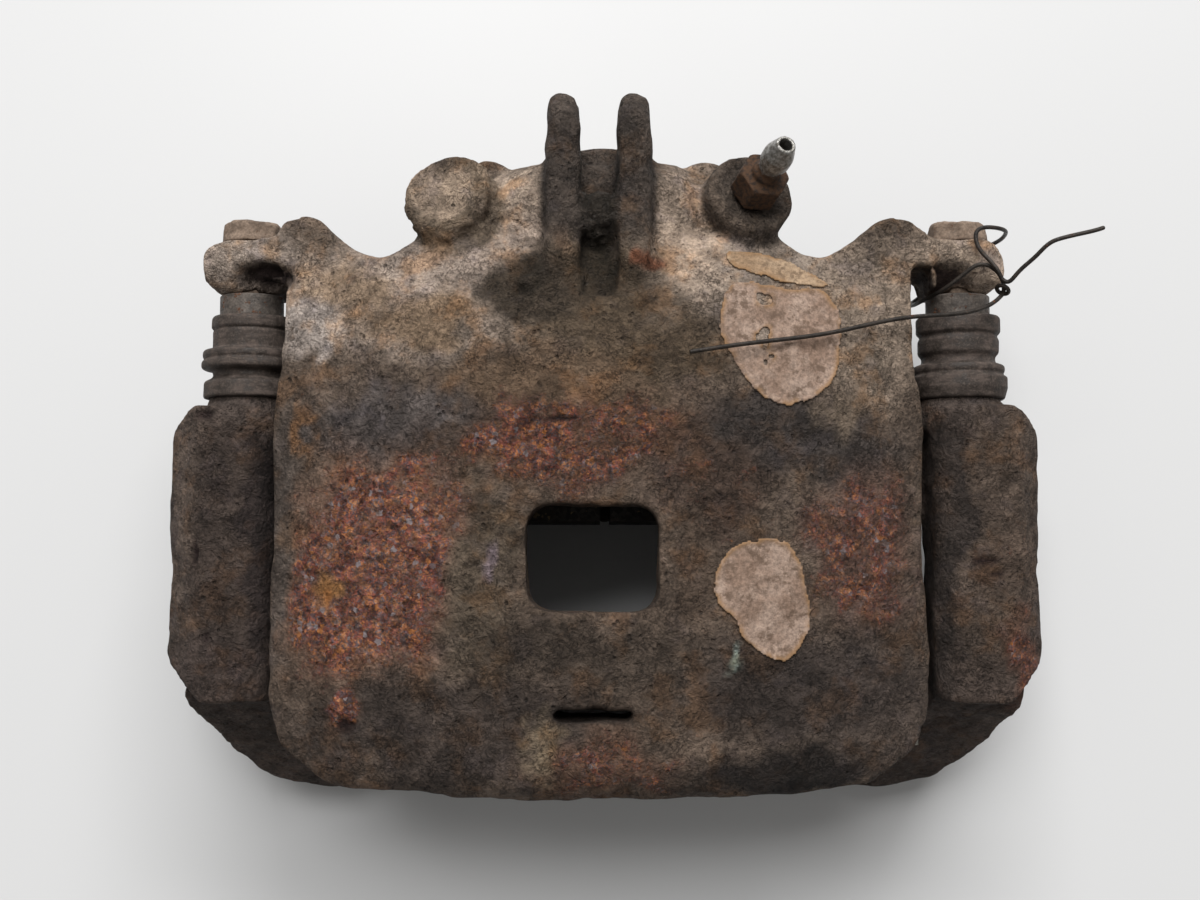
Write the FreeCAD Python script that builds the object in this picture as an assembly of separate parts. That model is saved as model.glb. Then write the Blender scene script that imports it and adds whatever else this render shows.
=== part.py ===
"""Single-piston floating brake caliper on its carrier bracket, with pads, guide pins and bleed screw.

Frame, in millimetres: the origin is midway between the two knuckle bolt holes, on the carrier's
mounting face.  +Y points inboard, out of that face and along the slide; +Z points away from the
wheel's axis; +X completes a right-handed set.  The brake disc turns about an axis parallel to Y.
"""
import FreeCAD
import Part
import math
import os

Vec = FreeCAD.Vector
AXIS_X, AXIS_Y, AXIS_Z = Vec(1, 0, 0), Vec(0, 1, 0), Vec(0, 0, 1)

# ---- driving dimensions -------------------------------------------------------------------
DISC_AXIS_Z = -88.0          # axis of the 280 mm disc that the carrier straddles
FLOOR_Z = -13.0              # lowest point of lugs and beams
FAR = 400.0                  # longer than anything in the part

PISTON_R = 28.5              # 57 mm piston
PISTON_Z = 25.0
BORE_CLEARANCE = 0.05
CYLINDER_R = 37.0
CYLINDER_FRONT = -8.0
CYLINDER_BACK = 59.0
BORE_END = 46.0
PORT_FACE = 64.5
PORT_Z = 30.0
PORT_R = 4.5                 # M10 x 1 tapping hole
PORT_DEPTH = 12.0

FINGER_OUTER = -88.0
FINGER_INNER = -69.0
BRIDGE_TOP = 69.0
BRIDGE_UNDER_R = 144.5       # concentric with the disc
CROWN_R = 200.0              # outer crown of the bridge
BODY_HALF = 75.5
BODY_X = -1.5                # the housing's middle, beside the carrier's

PIN_X = 85.65
PIN_Z = 37.0
PIN_R = 5.0
PIN_TIP = -35.0
PIN_BORE_END = -54.0
EAR_FACE = 28.5
EAR_BACK = 41.0
EAR_R = 10.3
BOLT_R = 3.95
BOLT_HOLE_R = 4.0
BOOT_ROOM_R = 12.2           # hollow beside each pin, clear of its boot and neck

KNUCKLE_X = 71.0             # half the knuckle bolt spacing
KNUCKLE_R = 5.35             # M12 x 1.25 tapping hole
LUG_R = 13.0
LUG_DEPTH = 17.0

COLUMN_IN, COLUMN_OUT = 77.5, 104.0
COLUMN_TOP = 49.0
COLUMN_END = -68.5
NECK_R = 9.6
NECK_FACE = 5.0
ARCH_R = 142.5               # clears the disc
SLOT_INNER, SLOT_OUTER = -25.0, -57.5
LEG_INNER = 69.0
NOTCH_X = 78.6               # pad abutment notch
NOTCH_Z = (10.8, 25.2)
NOTCH_END = -75.0
BEAM_OUTER = -94.0
BEAM_INNER = -77.0
CLIP_T = 0.6

PLATE_T = 5.5
LINING_T = 6.7
SHIM_T = 0.8
INNER_BACK = -13.0           # back of the inner pad's shim, on the piston
OUTER_BACK = -69.0           # back of the outer pad's shim, on the fingers

BLEED_FACE = Vec(35.8 + BODY_X, 50.0, 55.5)
BLEED_AXIS = Vec(0.27, 0.30, 0.915).normalize()
BLEED_R = 4.0
BOSS_R = 10.5

FIN_GAP, FIN_T = 8.2, 8.0

WIRE_R = 0.5


# ---- shape helpers --------------------------------------------------------------------------
def box(x, y, z):
    """A box between three (low, high) pairs."""
    return Part.makeBox(x[1] - x[0], y[1] - y[0], z[1] - z[0], Vec(x[0], y[0], z[0]))


def rod(x, z, radius, y0, y1):
    """A cylinder parallel to Y."""
    return Part.makeCylinder(radius, y1 - y0, Vec(x, y0, z), AXIS_Y)


def outline(points, place):
    """A closed wire through (a, b, corner radius) points, put in space by place(a, b)."""
    count = len(points)
    ends = []
    for i, (a, b, radius) in enumerate(points):
        corner = Vec(a, b, 0)
        before = Vec(*points[i - 1][:2], 0) - corner
        after = Vec(*points[(i + 1) % count][:2], 0) - corner
        if radius <= 0:
            ends.append((corner, corner, corner))
            continue
        before, after = before.normalize(), after.normalize()
        half = before.getAngle(after) / 2
        reach = radius / math.tan(half)
        middle = (before + after).normalize() * (radius / math.sin(half) - radius)
        ends.append((corner + before * reach, corner + middle, corner + after * reach))
    edges = []
    for i, (start, middle, end) in enumerate(ends):
        if (end - start).Length > 1e-6:
            edges.append(Part.Arc(*(place(p.x, p.y) for p in (start, middle, end))).toShape())
        following = ends[(i + 1) % count][0]
        if (following - end).Length > 1e-6:
            edges.append(Part.LineSegment(place(end.x, end.y), place(following.x, following.y)).toShape())
    return Part.Wire(edges)


def prism_z(points, z0, z1):
    """An (x, y) outline raised from z0 to z1."""
    return Part.Face(outline(points, lambda a, b: Vec(a, b, z0))).extrude(Vec(0, 0, z1 - z0))


def prism_y(points, y0, y1):
    """An (x, z) outline drawn out from y0 to y1."""
    return Part.Face(outline(points, lambda a, b: Vec(a, y0, b))).extrude(Vec(0, y1 - y0, 0))


def prism_x(points, x0, x1):
    """A (y, z) outline drawn out from x0 to x1."""
    return Part.Face(outline(points, lambda a, b: Vec(x0, a, b))).extrude(Vec(x1 - x0, 0, 0))


def turned(points, x=0.0, z=0.0):
    """An (r, y) outline turned about the line parallel to Y through (x, z)."""
    face = Part.Face(outline(points, lambda a, b: Vec(x + a, b, z)))
    return face.revolve(Vec(x, 0, z), AXIS_Y, 360)


def mirrored(shape):
    return shape.mirror(Vec(0, 0, 0), AXIS_X)


def mirror_points(half):
    """A closed outline from its right half, listed from one end on x = 0 to the other."""
    left = [(-x, y, r) for x, y, r in reversed(half) if x > 0]
    return half + left


def fused(first, *others):
    return first.fuse(list(others)).removeSplitter()


def slab(shape, y0, y1):
    """What lies between two planes across Y."""
    return shape.common(box((-FAR, FAR), (y0, y1), (-FAR, FAR)))


def softened(shape, radius, wanted):
    """Fillets the edges that wanted(edge) picks, one by one where all at once fails."""
    edges = [e for e in shape.Edges if wanted(e)]
    try:
        result = shape.makeFillet(radius, edges)
        if result.isValid():
            return result
    except Exception:
        pass
    return shape


def hexagon(flats, y0, y1, x, z, turn=0.0):
    """A hexagonal bar parallel to Y, flats apart across its flats."""
    reach = flats / math.sqrt(3)
    corners = [(x + reach * math.cos(math.radians(turn + 60 * k)),
                z + reach * math.sin(math.radians(turn + 60 * k)), 0) for k in range(6)]
    return prism_y(corners, y0, y1)


def along(shape, base, axis):
    """Moves a shape modelled about +Z at the origin onto a base point and an axis."""
    moved = shape.copy()
    moved.Placement = FreeCAD.Placement(base, FreeCAD.Rotation(AXIS_Z, axis))
    return moved


# ---- caliper housing --------------------------------------------------------------------------
FRONT_PLAN = [(26, FINGER_OUTER, 60), (61, -85.4, 8), (72.4, -77.6, 9), (75.6, -66, 9), (BODY_HALF, -46, 8),
              (74.6, -34, 8), (BODY_HALF, -4, 10), (73.4, 12, 8), (73.2, 25, 3), (73.6, 34, 1)]
ARM_PLAN = [(73.6, 45.0, 4), (66.5, 45.6, 7), (57, 37.5, 6), (50.5, 34.6, 6), (40, 42, 2)]
CROWN_PROFILE = [
    (0, FINGER_OUTER - 1, 0), (CROWN_R, FINGER_OUTER - 1, 10), (CROWN_R, 2, 75), (CROWN_R - 5, 32, 50),
    (CROWN_R - 20, 51, 0), (0, 51, 0),
]
BRIDGE_FACE = [(76.8, -30, 0), (76.8, 53.6, 7), (0, 84.8, 0)]
ARM_FACE = [
    (56, 32, 0), (76, 26.7, 4), (99, 26.7, 10.2), (99, 47.4, 10.2), (83, 47.8, 8),
    (67, 51.5, 10), (56, 52, 0),
]
FINGER_FACE = [
    (0, 100, 0), (80, 100, 0), (80, 44, 2), (66, 41, 6), (58, 28, 8), (52, 1, 5), (22, 1, 3),
    (22, 47, 21.9), (0, 47, 0),
]
SHOULDER_FACE = [
    (0, 100, 0), (80, 100, 0), (80, 36, 2), (58, 36, 4), (44, 28, 4), (38, 10, 2), (0, 10, 0),
]
EAR_ROUND = [(20, 39.5, 0), (28.7, 39.5, 3), (30.2, 43.6, 4), (36, 47.5, 0), (36, 70, 0), (20, 70, 0)]


def housing_plan():
    """The housing seen from above; each ear is centred on its own guide pin."""
    halves = []
    for side in (1, -1):
        pin = PIN_X - side * BODY_X
        end = pin + EAR_R + 0.1
        ear = [(pin - 8.2, 34, 1.1), (pin - 8.0, EAR_FACE, 0.6), (end - 0.8, EAR_FACE, 5),
               (end, EAR_BACK, 6), (pin - 8.0, EAR_BACK, 1.2)]
        halves.append(FRONT_PLAN + ear + ARM_PLAN)
    return halves[0] + [(-x, y, r) for x, y, r in reversed(halves[1])]


def body_block():
    """Bridge, fingers, shoulders and pin ears, as one crowned block."""
    plan = prism_z(housing_plan(), -20, 90)
    block = plan.common(turned(CROWN_PROFILE, 0, BRIDGE_TOP - CROWN_R))
    rounded = block.common(prism_y(mirror_points(BRIDGE_FACE), -FAR, 27))
    block = rounded.fuse(block.common(box((-75, 75), (27, FAR), (-FAR, FAR))))
    arms = plan.common(prism_y(ARM_FACE, 27, FAR).fuse(mirrored(prism_y(ARM_FACE, 27, FAR))))
    fingers = block.common(prism_y(mirror_points(FINGER_FACE), -FAR, FINGER_INNER))
    bridge = block.common(box((-FAR, FAR), (FINGER_INNER, CYLINDER_FRONT), (-FAR, FAR)))
    bridge = bridge.cut(rod(0, DISC_AXIS_Z, BRIDGE_UNDER_R, -FAR, FAR))
    shoulders = block.common(prism_y(mirror_points(SHOULDER_FACE), CYLINDER_FRONT, FAR))
    return fused(fingers, bridge, shoulders, arms)


def cylinder():
    """The piston housing, with its rounded back and the hose port boss."""
    barrel = turned([(0, CYLINDER_FRONT, 0), (CYLINDER_R, CYLINDER_FRONT, 1.5),
                     (CYLINDER_R, CYLINDER_BACK, 13), (0, CYLINDER_BACK, 0)], 0, PISTON_Z)
    port = turned([(0, 50, 0), (15.5, 50, 0), (12.5, PORT_FACE, 1.2), (0, PORT_FACE, 0)], 0, PORT_Z)
    knobs = [turned([(0, 40, 0), (6, 40, 0), (5, 60.5, 3), (0, 60.5, 0)], side * 26, 41)
             for side in (-1, 1)]
    return fused(barrel, port, *knobs)


def bleed_boss():
    """The boss that carries the bleed screw, on the right; the left one is its blank twin."""
    boss = Part.makeCylinder(BOSS_R, 30, Vec(0, 0, -30), AXIS_Z)
    boss = boss.makeFillet(1.6, [e for e in boss.Edges if e.BoundBox.ZMin > -1])
    return along(boss, BLEED_FACE, BLEED_AXIS)


def hose_fin():
    """One of the two upright fins that hold the hose's end block."""
    near = FIN_GAP / 2
    side = [(22, 50, 0), (22, 61, 2), (31, 66, 14), (66, 65.4, 6), (72.6, 62, 5), (72.6, 49, 5),
            (60, 43, 6), (50, 43, 0)]
    fin = prism_x(side, near, near + FIN_T)
    return softened(fin, 3.4, lambda e: abs(e.BoundBox.XLength) < 1e-6 and e.BoundBox.YMax > 30)


def piston_bore():
    """The bore, with its seal groove and the seat for the dust boot."""
    bore_r = PISTON_R + BORE_CLEARANCE
    seat = CYLINDER_FRONT + 4.5
    return turned([(0, CYLINDER_FRONT - 1, 0), (34, CYLINDER_FRONT - 1, 0), (34, seat, 0),
                   (bore_r, seat, 0), (bore_r, 1.0, 0), (31.6, 1.0, 0), (31.6, 4.6, 0),
                   (bore_r, 4.6, 0), (bore_r, BORE_END, 2), (0, BORE_END, 0)], BODY_X, PISTON_Z)


def bleed_hole():
    """Thread and fluid passage under the bleed screw."""
    thread = Part.makeCylinder(BLEED_R, 40, Vec(0, 0, -14), AXIS_Z)
    spot = Part.makeCylinder(8.2, 12, Vec(0, 0, -0.8), AXIS_Z)
    passage = Part.makeCylinder(1.4, 20, Vec(0, 0, -24), AXIS_Z)
    return along(thread.fuse([spot, passage]), BLEED_FACE, BLEED_AXIS)


def caliper_casting():
    """The whole housing, as the simpler solids that its bridge, fingers, cylinder and fins are."""
    boss = bleed_boss()
    boss.translate(Vec(-BODY_X, 0, 0))
    body = fused(body_block(), cylinder(), boss, mirrored(boss))
    fin = hose_fin().cut(body)
    fins = {"hose_fin_right": fin, "hose_fin_left": mirrored(fin)}
    ear_round = prism_x(EAR_ROUND, PIN_X - BODY_X - 7.8, FAR)
    ear_round_left = mirrored(prism_x(EAR_ROUND, PIN_X + BODY_X - 7.8, FAR))
    channel = prism_x([(24, 62, 0), (58, 48, 4), (80, 44, 0), (80, 80, 0), (24, 80, 0)],
                      -FIN_GAP / 2, FIN_GAP / 2)
    window = prism_z([(-15.8, -46.4, 5), (13.4, -46.4, 5), (13.4, -22.9, 5), (-15.8, -22.9, 5)], 30, 90)
    slot = box((-10, 8), (-70.2, -67.6), (30, 90))
    port = rod(0, PORT_Z, PORT_R, PORT_FACE - PORT_DEPTH, PORT_FACE + 5)
    port = port.fuse(rod(0, PORT_Z, 1.6, BORE_END - 1, PORT_FACE))
    body = body.cut([channel, window, slot, port, ear_round, ear_round_left])
    body.translate(Vec(BODY_X, 0, 0))
    cuts = [piston_bore(), bleed_hole()]
    for side in (-1, 1):
        cuts.append(rod(side * PIN_X, PIN_Z, BOLT_HOLE_R, EAR_FACE - 2, EAR_BACK + 2))
        cuts.append(rod(side * PIN_X, PIN_Z, BOOT_ROOM_R, -14, EAR_FACE))
    body = body.cut(cuts)
    parts = {
        "caliper_fingers": slab(body, -FAR, FINGER_INNER),
        "caliper_bridge": slab(body, FINGER_INNER, CYLINDER_FRONT),
        "caliper_cylinder": slab(body, CYLINDER_FRONT, FAR),
    }
    for name, shape in fins.items():
        shape.translate(Vec(BODY_X, 0, 0))
        parts[name] = shape
    return parts


# ---- carrier bracket --------------------------------------------------------------------------
COLUMN_PLAN = [
    (COLUMN_IN, 1, 3), (96.5, 1.4, 4), (103.4, -4, 6), (103.6, -30, 10), (102.2, -38, 10),
    (104, -50, 10), (COLUMN_OUT, -58, 8), (94.5, COLUMN_END, 4), (COLUMN_IN, COLUMN_END, 2),
]
COLUMN_FACE = [
    (COLUMN_IN, 22, 0), (COLUMN_IN, COLUMN_TOP, 7), (96, COLUMN_TOP, 9), (COLUMN_OUT, 41, 7),
    (COLUMN_OUT, 22, 5), (92, 10, 0), (COLUMN_IN, 10, 0),
]
INNER_LEG_FACE = [
    (LEG_INNER, -11, 0), (LEG_INNER, 31, 2), (COLUMN_IN, 34, 0), (COLUMN_IN, 40, 0), (100, 40, 0),
    (101, 24, 8), (90, 6, 10), (84, -6, 6), (76, FLOOR_Z, 6), (60, FLOOR_Z, 4), (58, -4, 4),
    (60, 6, 4), (LEG_INNER, 9, 2),
]
OUTER_LEG_PLAN = [
    (66, -57.5, 0), (99.5, -57.5, 0), (100, -69, 5), (93, -83, 10), (85, -90.5, 8), (72, BEAM_OUTER, 8),
    (60, BEAM_OUTER, 0), (60, -75, 0), (66, -70, 2),
]
OUTER_LEG_FACE = [
    (LEG_INNER, 31, 2), (COLUMN_IN, 34, 0), (COLUMN_IN, 40, 0), (103, 40, 0), (101.5, 20, 8),
    (94, -5, 8), (85, FLOOR_Z, 5), (58, FLOOR_Z, 0), (58, -3, 0), (LEG_INNER, 2, 3),
]
OUTER_LEG_SIDE = [
    (-50, FLOOR_Z, 0), (BEAM_OUTER, FLOOR_Z, 3), (BEAM_OUTER, 4, 5), (-77, 25, 8), (-67.5, 40, 4),
    (-50, 40, 0),
]


def carrier_side():
    """One column, its inboard leg with the knuckle lug, and its outboard leg."""
    column = prism_z(COLUMN_PLAN, -20, 60).common(prism_y(COLUMN_FACE, -FAR, FAR))
    neck = turned([(0, -4, 0), (NECK_R + 1.2, -4, 0), (NECK_R + 1.2, 1.6, 1), (NECK_R, 1.8, 0),
                   (NECK_R, NECK_FACE, 1), (0, NECK_FACE, 0)], PIN_X, PIN_Z)
    inner_leg = prism_y(INNER_LEG_FACE, -25, -2.5)
    lug = rod(KNUCKLE_X, 0, LUG_R, -LUG_DEPTH, 0)
    outer_leg = prism_z(OUTER_LEG_PLAN, -20, 60).common(prism_y(OUTER_LEG_FACE, -FAR, FAR))
    outer_leg = outer_leg.common(prism_x(OUTER_LEG_SIDE, 0, FAR))
    side = fused(column, neck, inner_leg, lug, outer_leg)
    notch = box((LEG_INNER - 5, NOTCH_X), (NOTCH_END, -2.5), NOTCH_Z)
    bore = rod(PIN_X, PIN_Z, PIN_R + BORE_CLEARANCE, PIN_BORE_END, NECK_FACE + 1)
    knuckle_hole = rod(KNUCKLE_X, 0, KNUCKLE_R, -40, 5)
    tab_room = box((LEG_INNER - 5, NOTCH_X), (NOTCH_END - 7, NOTCH_END), (NOTCH_Z[1] - 1.4, 45))
    return side.cut([notch, tab_room, bore, knuckle_hole])


def carrier_casting():
    """The whole bracket, as its inboard frame, its two columns over the disc and its outboard frame."""
    side = carrier_side()
    inner_beam = prism_y([(-64, FLOOR_Z, 0), (64, FLOOR_Z, 0), (64, -4.6, 0), (40, -4.6, 6), (34, -5.4, 6),
                          (-34, -5.4, 6), (-40, -4.6, 6), (-64, -4.6, 0)], -25, -14)
    outer_beam = box((-62, 62), (BEAM_OUTER, BEAM_INNER), (FLOOR_Z, -2.5))
    outer_beam = softened(outer_beam, 3, lambda e: e.BoundBox.XLength > 100)
    body = fused(side, mirrored(side), inner_beam, outer_beam)
    body = body.cut([rod(0, DISC_AXIS_Z, ARCH_R, SLOT_OUTER, SLOT_INNER)])
    columns = slab(body, SLOT_OUTER, SLOT_INNER)
    return {
        "carrier_inner_frame": slab(body, SLOT_INNER, FAR),
        "carrier_column_left": columns.common(box((-FAR, 0), (-FAR, FAR), (-FAR, FAR))),
        "carrier_column_right": columns.common(box((0, FAR), (-FAR, FAR), (-FAR, FAR))),
        "carrier_outer_frame": slab(body, -FAR, SLOT_OUTER),
    }


def pad_clip(y0, y1, outward):
    """Folded stainless clip lining one right-hand abutment notch, with a spring tab."""
    low, high = NOTCH_Z
    inner = LEG_INNER - 2.0
    channel = box((inner, NOTCH_X), (y0, y1), (low, high))
    hollow = box((inner - 1, NOTCH_X - CLIP_T), (y0 - 1, y1 + 1), (low + CLIP_T, high - CLIP_T))
    clip = channel.cut(hollow)
    lip = box((LEG_INNER - CLIP_T, LEG_INNER), (y0, y1), (high - CLIP_T, high + 4.5))
    end = y0 if outward < 0 else y1
    reach = tuple(sorted((end, end + outward * 5.5)))
    tab = box((NOTCH_X - 8.5, NOTCH_X - 1.5), reach, (high - CLIP_T, high))
    return fused(clip, lip, tab)


# ---- guide pins and their boots ------------------------------------------------------------------
def guide_pin(side, sleeved):
    """A guide pin with its collar and boot groove; the sleeved one is waisted near its tip."""
    x = side * PIN_X
    tip = [(0, PIN_TIP, 0), (PIN_R - 1, PIN_TIP, 0), (PIN_R, PIN_TIP + 1.2, 0)]
    if sleeved:
        tip = [(0, PIN_TIP, 0), (PIN_R, PIN_TIP, 0.5), (PIN_R, PIN_TIP + 3, 0), (3.6, PIN_TIP + 3, 0),
               (3.6, PIN_TIP + 17, 0), (PIN_R, PIN_TIP + 17, 0)]
    head = [(PIN_R, 18.6, 0), (6.6, 18.6, 0), (6.6, 22.4, 0), (7.6, 22.4, 0.5), (7.6, EAR_FACE, 0.4),
            (BOLT_HOLE_R, EAR_FACE, 0), (BOLT_HOLE_R, 6, 0), (0, 4, 0)]
    return turned(tip + head, x, PIN_Z)


def pin_bolt(side):
    """Flanged hexagon bolt that holds a guide pin to its ear."""
    x = side * PIN_X
    flange = turned([(0, EAR_BACK, 0), (7.6, EAR_BACK, 0.4),
                     (7.2, EAR_BACK + 1.8, 0), (0, EAR_BACK + 1.8, 0)], x, PIN_Z)
    head = hexagon(13.0, EAR_BACK + 1, EAR_BACK + 5.6, x, PIN_Z, 30)
    cap = turned([(0, EAR_BACK, 0), (8.2, EAR_BACK, 0), (8.2, EAR_BACK + 4.2, 0), (5.8, EAR_BACK + 5.6, 0),
                  (0, EAR_BACK + 5.6, 0)], x, PIN_Z)
    shank = rod(x, PIN_Z, BOLT_R, 9, EAR_BACK + 1)
    return fused(flange, head.common(cap), shank)


def pin_boot(side):
    """Rubber bellows from the pin's groove to the carrier's neck; the two differ in their folds."""
    lip = NECK_R + 0.02
    groove = 6.62
    if side < 0:
        outer = [(9.4, 23.4, 0.8), (9.4, 20.6, 0.4), (8.6, 20.2, 0.3), (9.1, 19.7, 0.3),
                 (9.1, 15.4, 0.5), (11.4, 15.0, 0.7), (11.4, 13.3, 0.6), (10.3, 12.9, 0.3),
                 (11.7, 12.5, 0.7), (11.7, 10.7, 0.8), (8.9, 10.1, 0.8), (8.9, 8.6, 0.8),
                 (11.0, 7.4, 0.8), (11.1, 3.6, 0.6), (lip, 3.4, 0)]
    else:
        outer = [(10.0, 23.4, 0.8), (10.0, 19.4, 1.0), (9.0, 18.9, 0.4), (9.6, 17.6, 0.8), (9.6, 14.6, 1.0),
                 (8.7, 13.6, 0.8), (8.7, 12.2, 0.5), (10.9, 11.4, 0.8), (10.9, 9.9, 0.6), (10.0, 9.4, 0.3),
                 (11.6, 8.8, 0.7), (11.6, 6.0, 1.2), (10.7, 3.4, 0.5), (lip, 3.4, 0)]
    inner = [(lip, 5.2, 0), (7.6, 6.4, 0.8), (7.3, 17.8, 0.8), (groove, 18.7, 0), (groove, 22.3, 0),
             (7.7, 22.5, 0), (7.7, 23.4, 0)]
    return turned(outer + inner, side * PIN_X, PIN_Z)


def pin_sleeve():
    """Rubber damping sleeve on the right-hand pin's waist."""
    return turned([(3.62, PIN_TIP + 3.1, 0), (4.9, PIN_TIP + 3.1, 0.4), (4.9, PIN_TIP + 16.9, 0.4),
                   (3.62, PIN_TIP + 16.9, 0)], PIN_X, PIN_Z)


# ---- hydraulics -----------------------------------------------------------------------------------
def piston():
    """Hollow piston, open towards the pad, with a groove for the dust boot's lip."""
    back = INNER_BACK + 49
    return turned([(0, INNER_BACK + 40, 0), (21.5, INNER_BACK + 40, 4), (21.5, INNER_BACK, 0.8),
                   (27.6, INNER_BACK, 0.8), (27.6, INNER_BACK + 2, 0), (26.2, INNER_BACK + 2.2, 0),
                   (26.2, INNER_BACK + 4.4, 0), (PISTON_R, INNER_BACK + 4.6, 0), (PISTON_R, back, 1.5),
                   (0, back, 0)], BODY_X, PISTON_Z)


def piston_seal():
    return turned([(PISTON_R + BORE_CLEARANCE, 1.05, 0), (31.55, 1.05, 0), (31.55, 4.55, 0),
                   (PISTON_R + BORE_CLEARANCE, 4.55, 0)], BODY_X, PISTON_Z)


def piston_dust_boot():
    """Rubber boot from the cylinder's mouth to the piston's groove."""
    mouth = CYLINDER_FRONT
    return turned([(30.2, mouth + 4.4, 0), (33.9, mouth + 4.4, 0), (33.9, mouth + 1.3, 0),
                   (32.4, mouth + 1.2, 0), (31.0, mouth - 2.2, 0.5),
                   (30.2, mouth - 2.4, 0.3), (28.8, mouth - 1.4, 0.3),
                   (27.9, mouth - 2.4, 0.3), (26.3, mouth - 2.5, 0), (26.3, mouth - 0.9, 0),
                   (28.65, mouth - 0.8, 0.1), (29.1, mouth + 0.4, 0.3), (30.2, mouth - 0.6, 0.3)],
                  BODY_X, PISTON_Z)


def boot_ring():
    """Split spring ring that holds the dust boot in the cylinder's mouth."""
    ring = turned([(32.6, CYLINDER_FRONT + 0.2, 0), (33.9, CYLINDER_FRONT + 0.2, 0),
                   (33.9, CYLINDER_FRONT + 1.2, 0), (32.6, CYLINDER_FRONT + 1.2, 0)],
                  BODY_X, PISTON_Z)
    return ring.cut(box((BODY_X - 2, BODY_X + 2), (-20, 0), (PISTON_Z - 40, PISTON_Z)))


def bleed_screw():
    """Bleed screw: threaded stem, hexagon, neck and hose nipple, bored down to the stem."""
    stem = Part.makeCylinder(BLEED_R - BORE_CLEARANCE, 13, Vec(0, 0, -12), AXIS_Z)
    nut = Part.Face(outline([(6.1 * math.cos(math.radians(60 * k)), 6.1 * math.sin(math.radians(60 * k)), 0)
                             for k in range(6)], lambda a, b: Vec(a, b, 0.8))).extrude(Vec(0, 0, 7.2))
    chamfer = Part.makeCone(7.4, 5.2, 3, Vec(0, 0, 5.4), AXIS_Z)
    chamfer = chamfer.fuse(Part.makeCylinder(7.4, 5.4, Vec(0, 0, 0), AXIS_Z))
    profile = [(0, 7), (3.4, 7), (3.4, 9.4), (2.7, 10.2), (2.7, 12.4),
               (3.5, 13.2), (3.5, 16.2), (2.2, 20.4), (0, 20.4)]
    wire = Part.makePolygon([Vec(r, 0, h) for r, h in profile] + [Vec(0, 0, 7)])
    nipple = Part.Face(wire).revolve(Vec(0, 0, 0), AXIS_Z, 360)
    screw = fused(stem, nut.common(chamfer), nipple)
    screw = screw.cut(Part.makeCylinder(1.45, 26, Vec(0, 0, -4), AXIS_Z))
    return along(screw, BLEED_FACE, BLEED_AXIS)


# ---- pads -------------------------------------------------------------------------------------------
def pad_blank(half_width, top_r, bottom, y0, y1, taper):
    """A pad outline: arched top about the disc's axis, narrower between the knuckle lugs."""
    narrow = half_width - taper
    blank = prism_y(mirror_points([(half_width, 60, 0), (half_width, 12.6, 1), (narrow + 3.5, 11.6, 1.5),
                                   (narrow, 7.5, 1.5), (narrow, bottom, 3)]), y0, y1)
    return blank.common(rod(0, DISC_AXIS_Z, top_r, -FAR, FAR))


def pad_plate(back, towards):
    """Steel backing plate with an ear at each end; towards is the side that the lining faces."""
    y0, y1 = sorted((back, back + towards * PLATE_T))
    low, high = NOTCH_Z[0] + CLIP_T + 0.4, NOTCH_Z[1] - CLIP_T - 0.4
    reach = NOTCH_X - CLIP_T - 0.5
    plate = pad_blank(66.5, 141.5, 1.5, y0, y1, 9.5)
    ears = prism_y([(-reach, low, 1), (reach, low, 1), (reach, high, 1), (-reach, high, 1)], y0, y1)
    return fused(plate, ears)


def pad_lining(face, towards):
    """Friction lining, bonded to the plate at face, with its centre slot and chamfered ends."""
    y0, y1 = sorted((face, face + towards * LINING_T))
    lining = pad_blank(63.0, 139.0, 4.0, y0, y1, 7.5)
    tip = face + towards * LINING_T
    slot = box((-1.2, 1.2), tuple(sorted((tip, tip - towards * (LINING_T - 1.5)))), (-20, 80))
    cuts = [slot]
    for side in (-1, 1):
        edge = side * 63.5
        chamfer = [(edge, tip, 0), (edge - side * 7, tip, 0), (edge, tip - towards * 3.5, 0)]
        cuts.append(prism_z(chamfer, -20, 80))
    return lining.cut(cuts)


def pad_shim(back, towards):
    """Thin steel shim behind the plate, cut away at its corners."""
    y0, y1 = sorted((back, back + towards * SHIM_T))
    return pad_blank(56.0, 140.0, 5.0, y0, y1, 9)


def wear_indicator():
    """Spring steel squealer on the inner pad's plate, reaching beside the lining towards the disc."""
    plate_face = INNER_BACK - SHIM_T - PLATE_T
    foot = box((63.2, 66.2), (plate_face - 0.8, plate_face), (24, 34))
    finger = box((65.4, 66.2), (plate_face - 5.4, plate_face), (24, 30))
    return fused(foot, finger)


def pad_spring():
    """Wire clip that centres the inner pad in the piston's hollow."""
    hub = rod(BODY_X, PISTON_Z, 6, INNER_BACK + 0.05, INNER_BACK + 1.0)
    arms = []
    for k in range(3):
        arm = box((0, 21.2), (INNER_BACK + 0.05, INNER_BACK + 1.0), (-2.5, 2.5))
        hook = box((20.2, 21.2), (INNER_BACK + 0.05, INNER_BACK + 9), (-2.5, 2.5))
        arm = arm.fuse(hook)
        arm.rotate(Vec(0, 0, 0), AXIS_Y, 90 + 120 * k)
        arm.translate(Vec(BODY_X, 0, PISTON_Z))
        arms.append(arm)
    return fused(hub, *arms)


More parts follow.
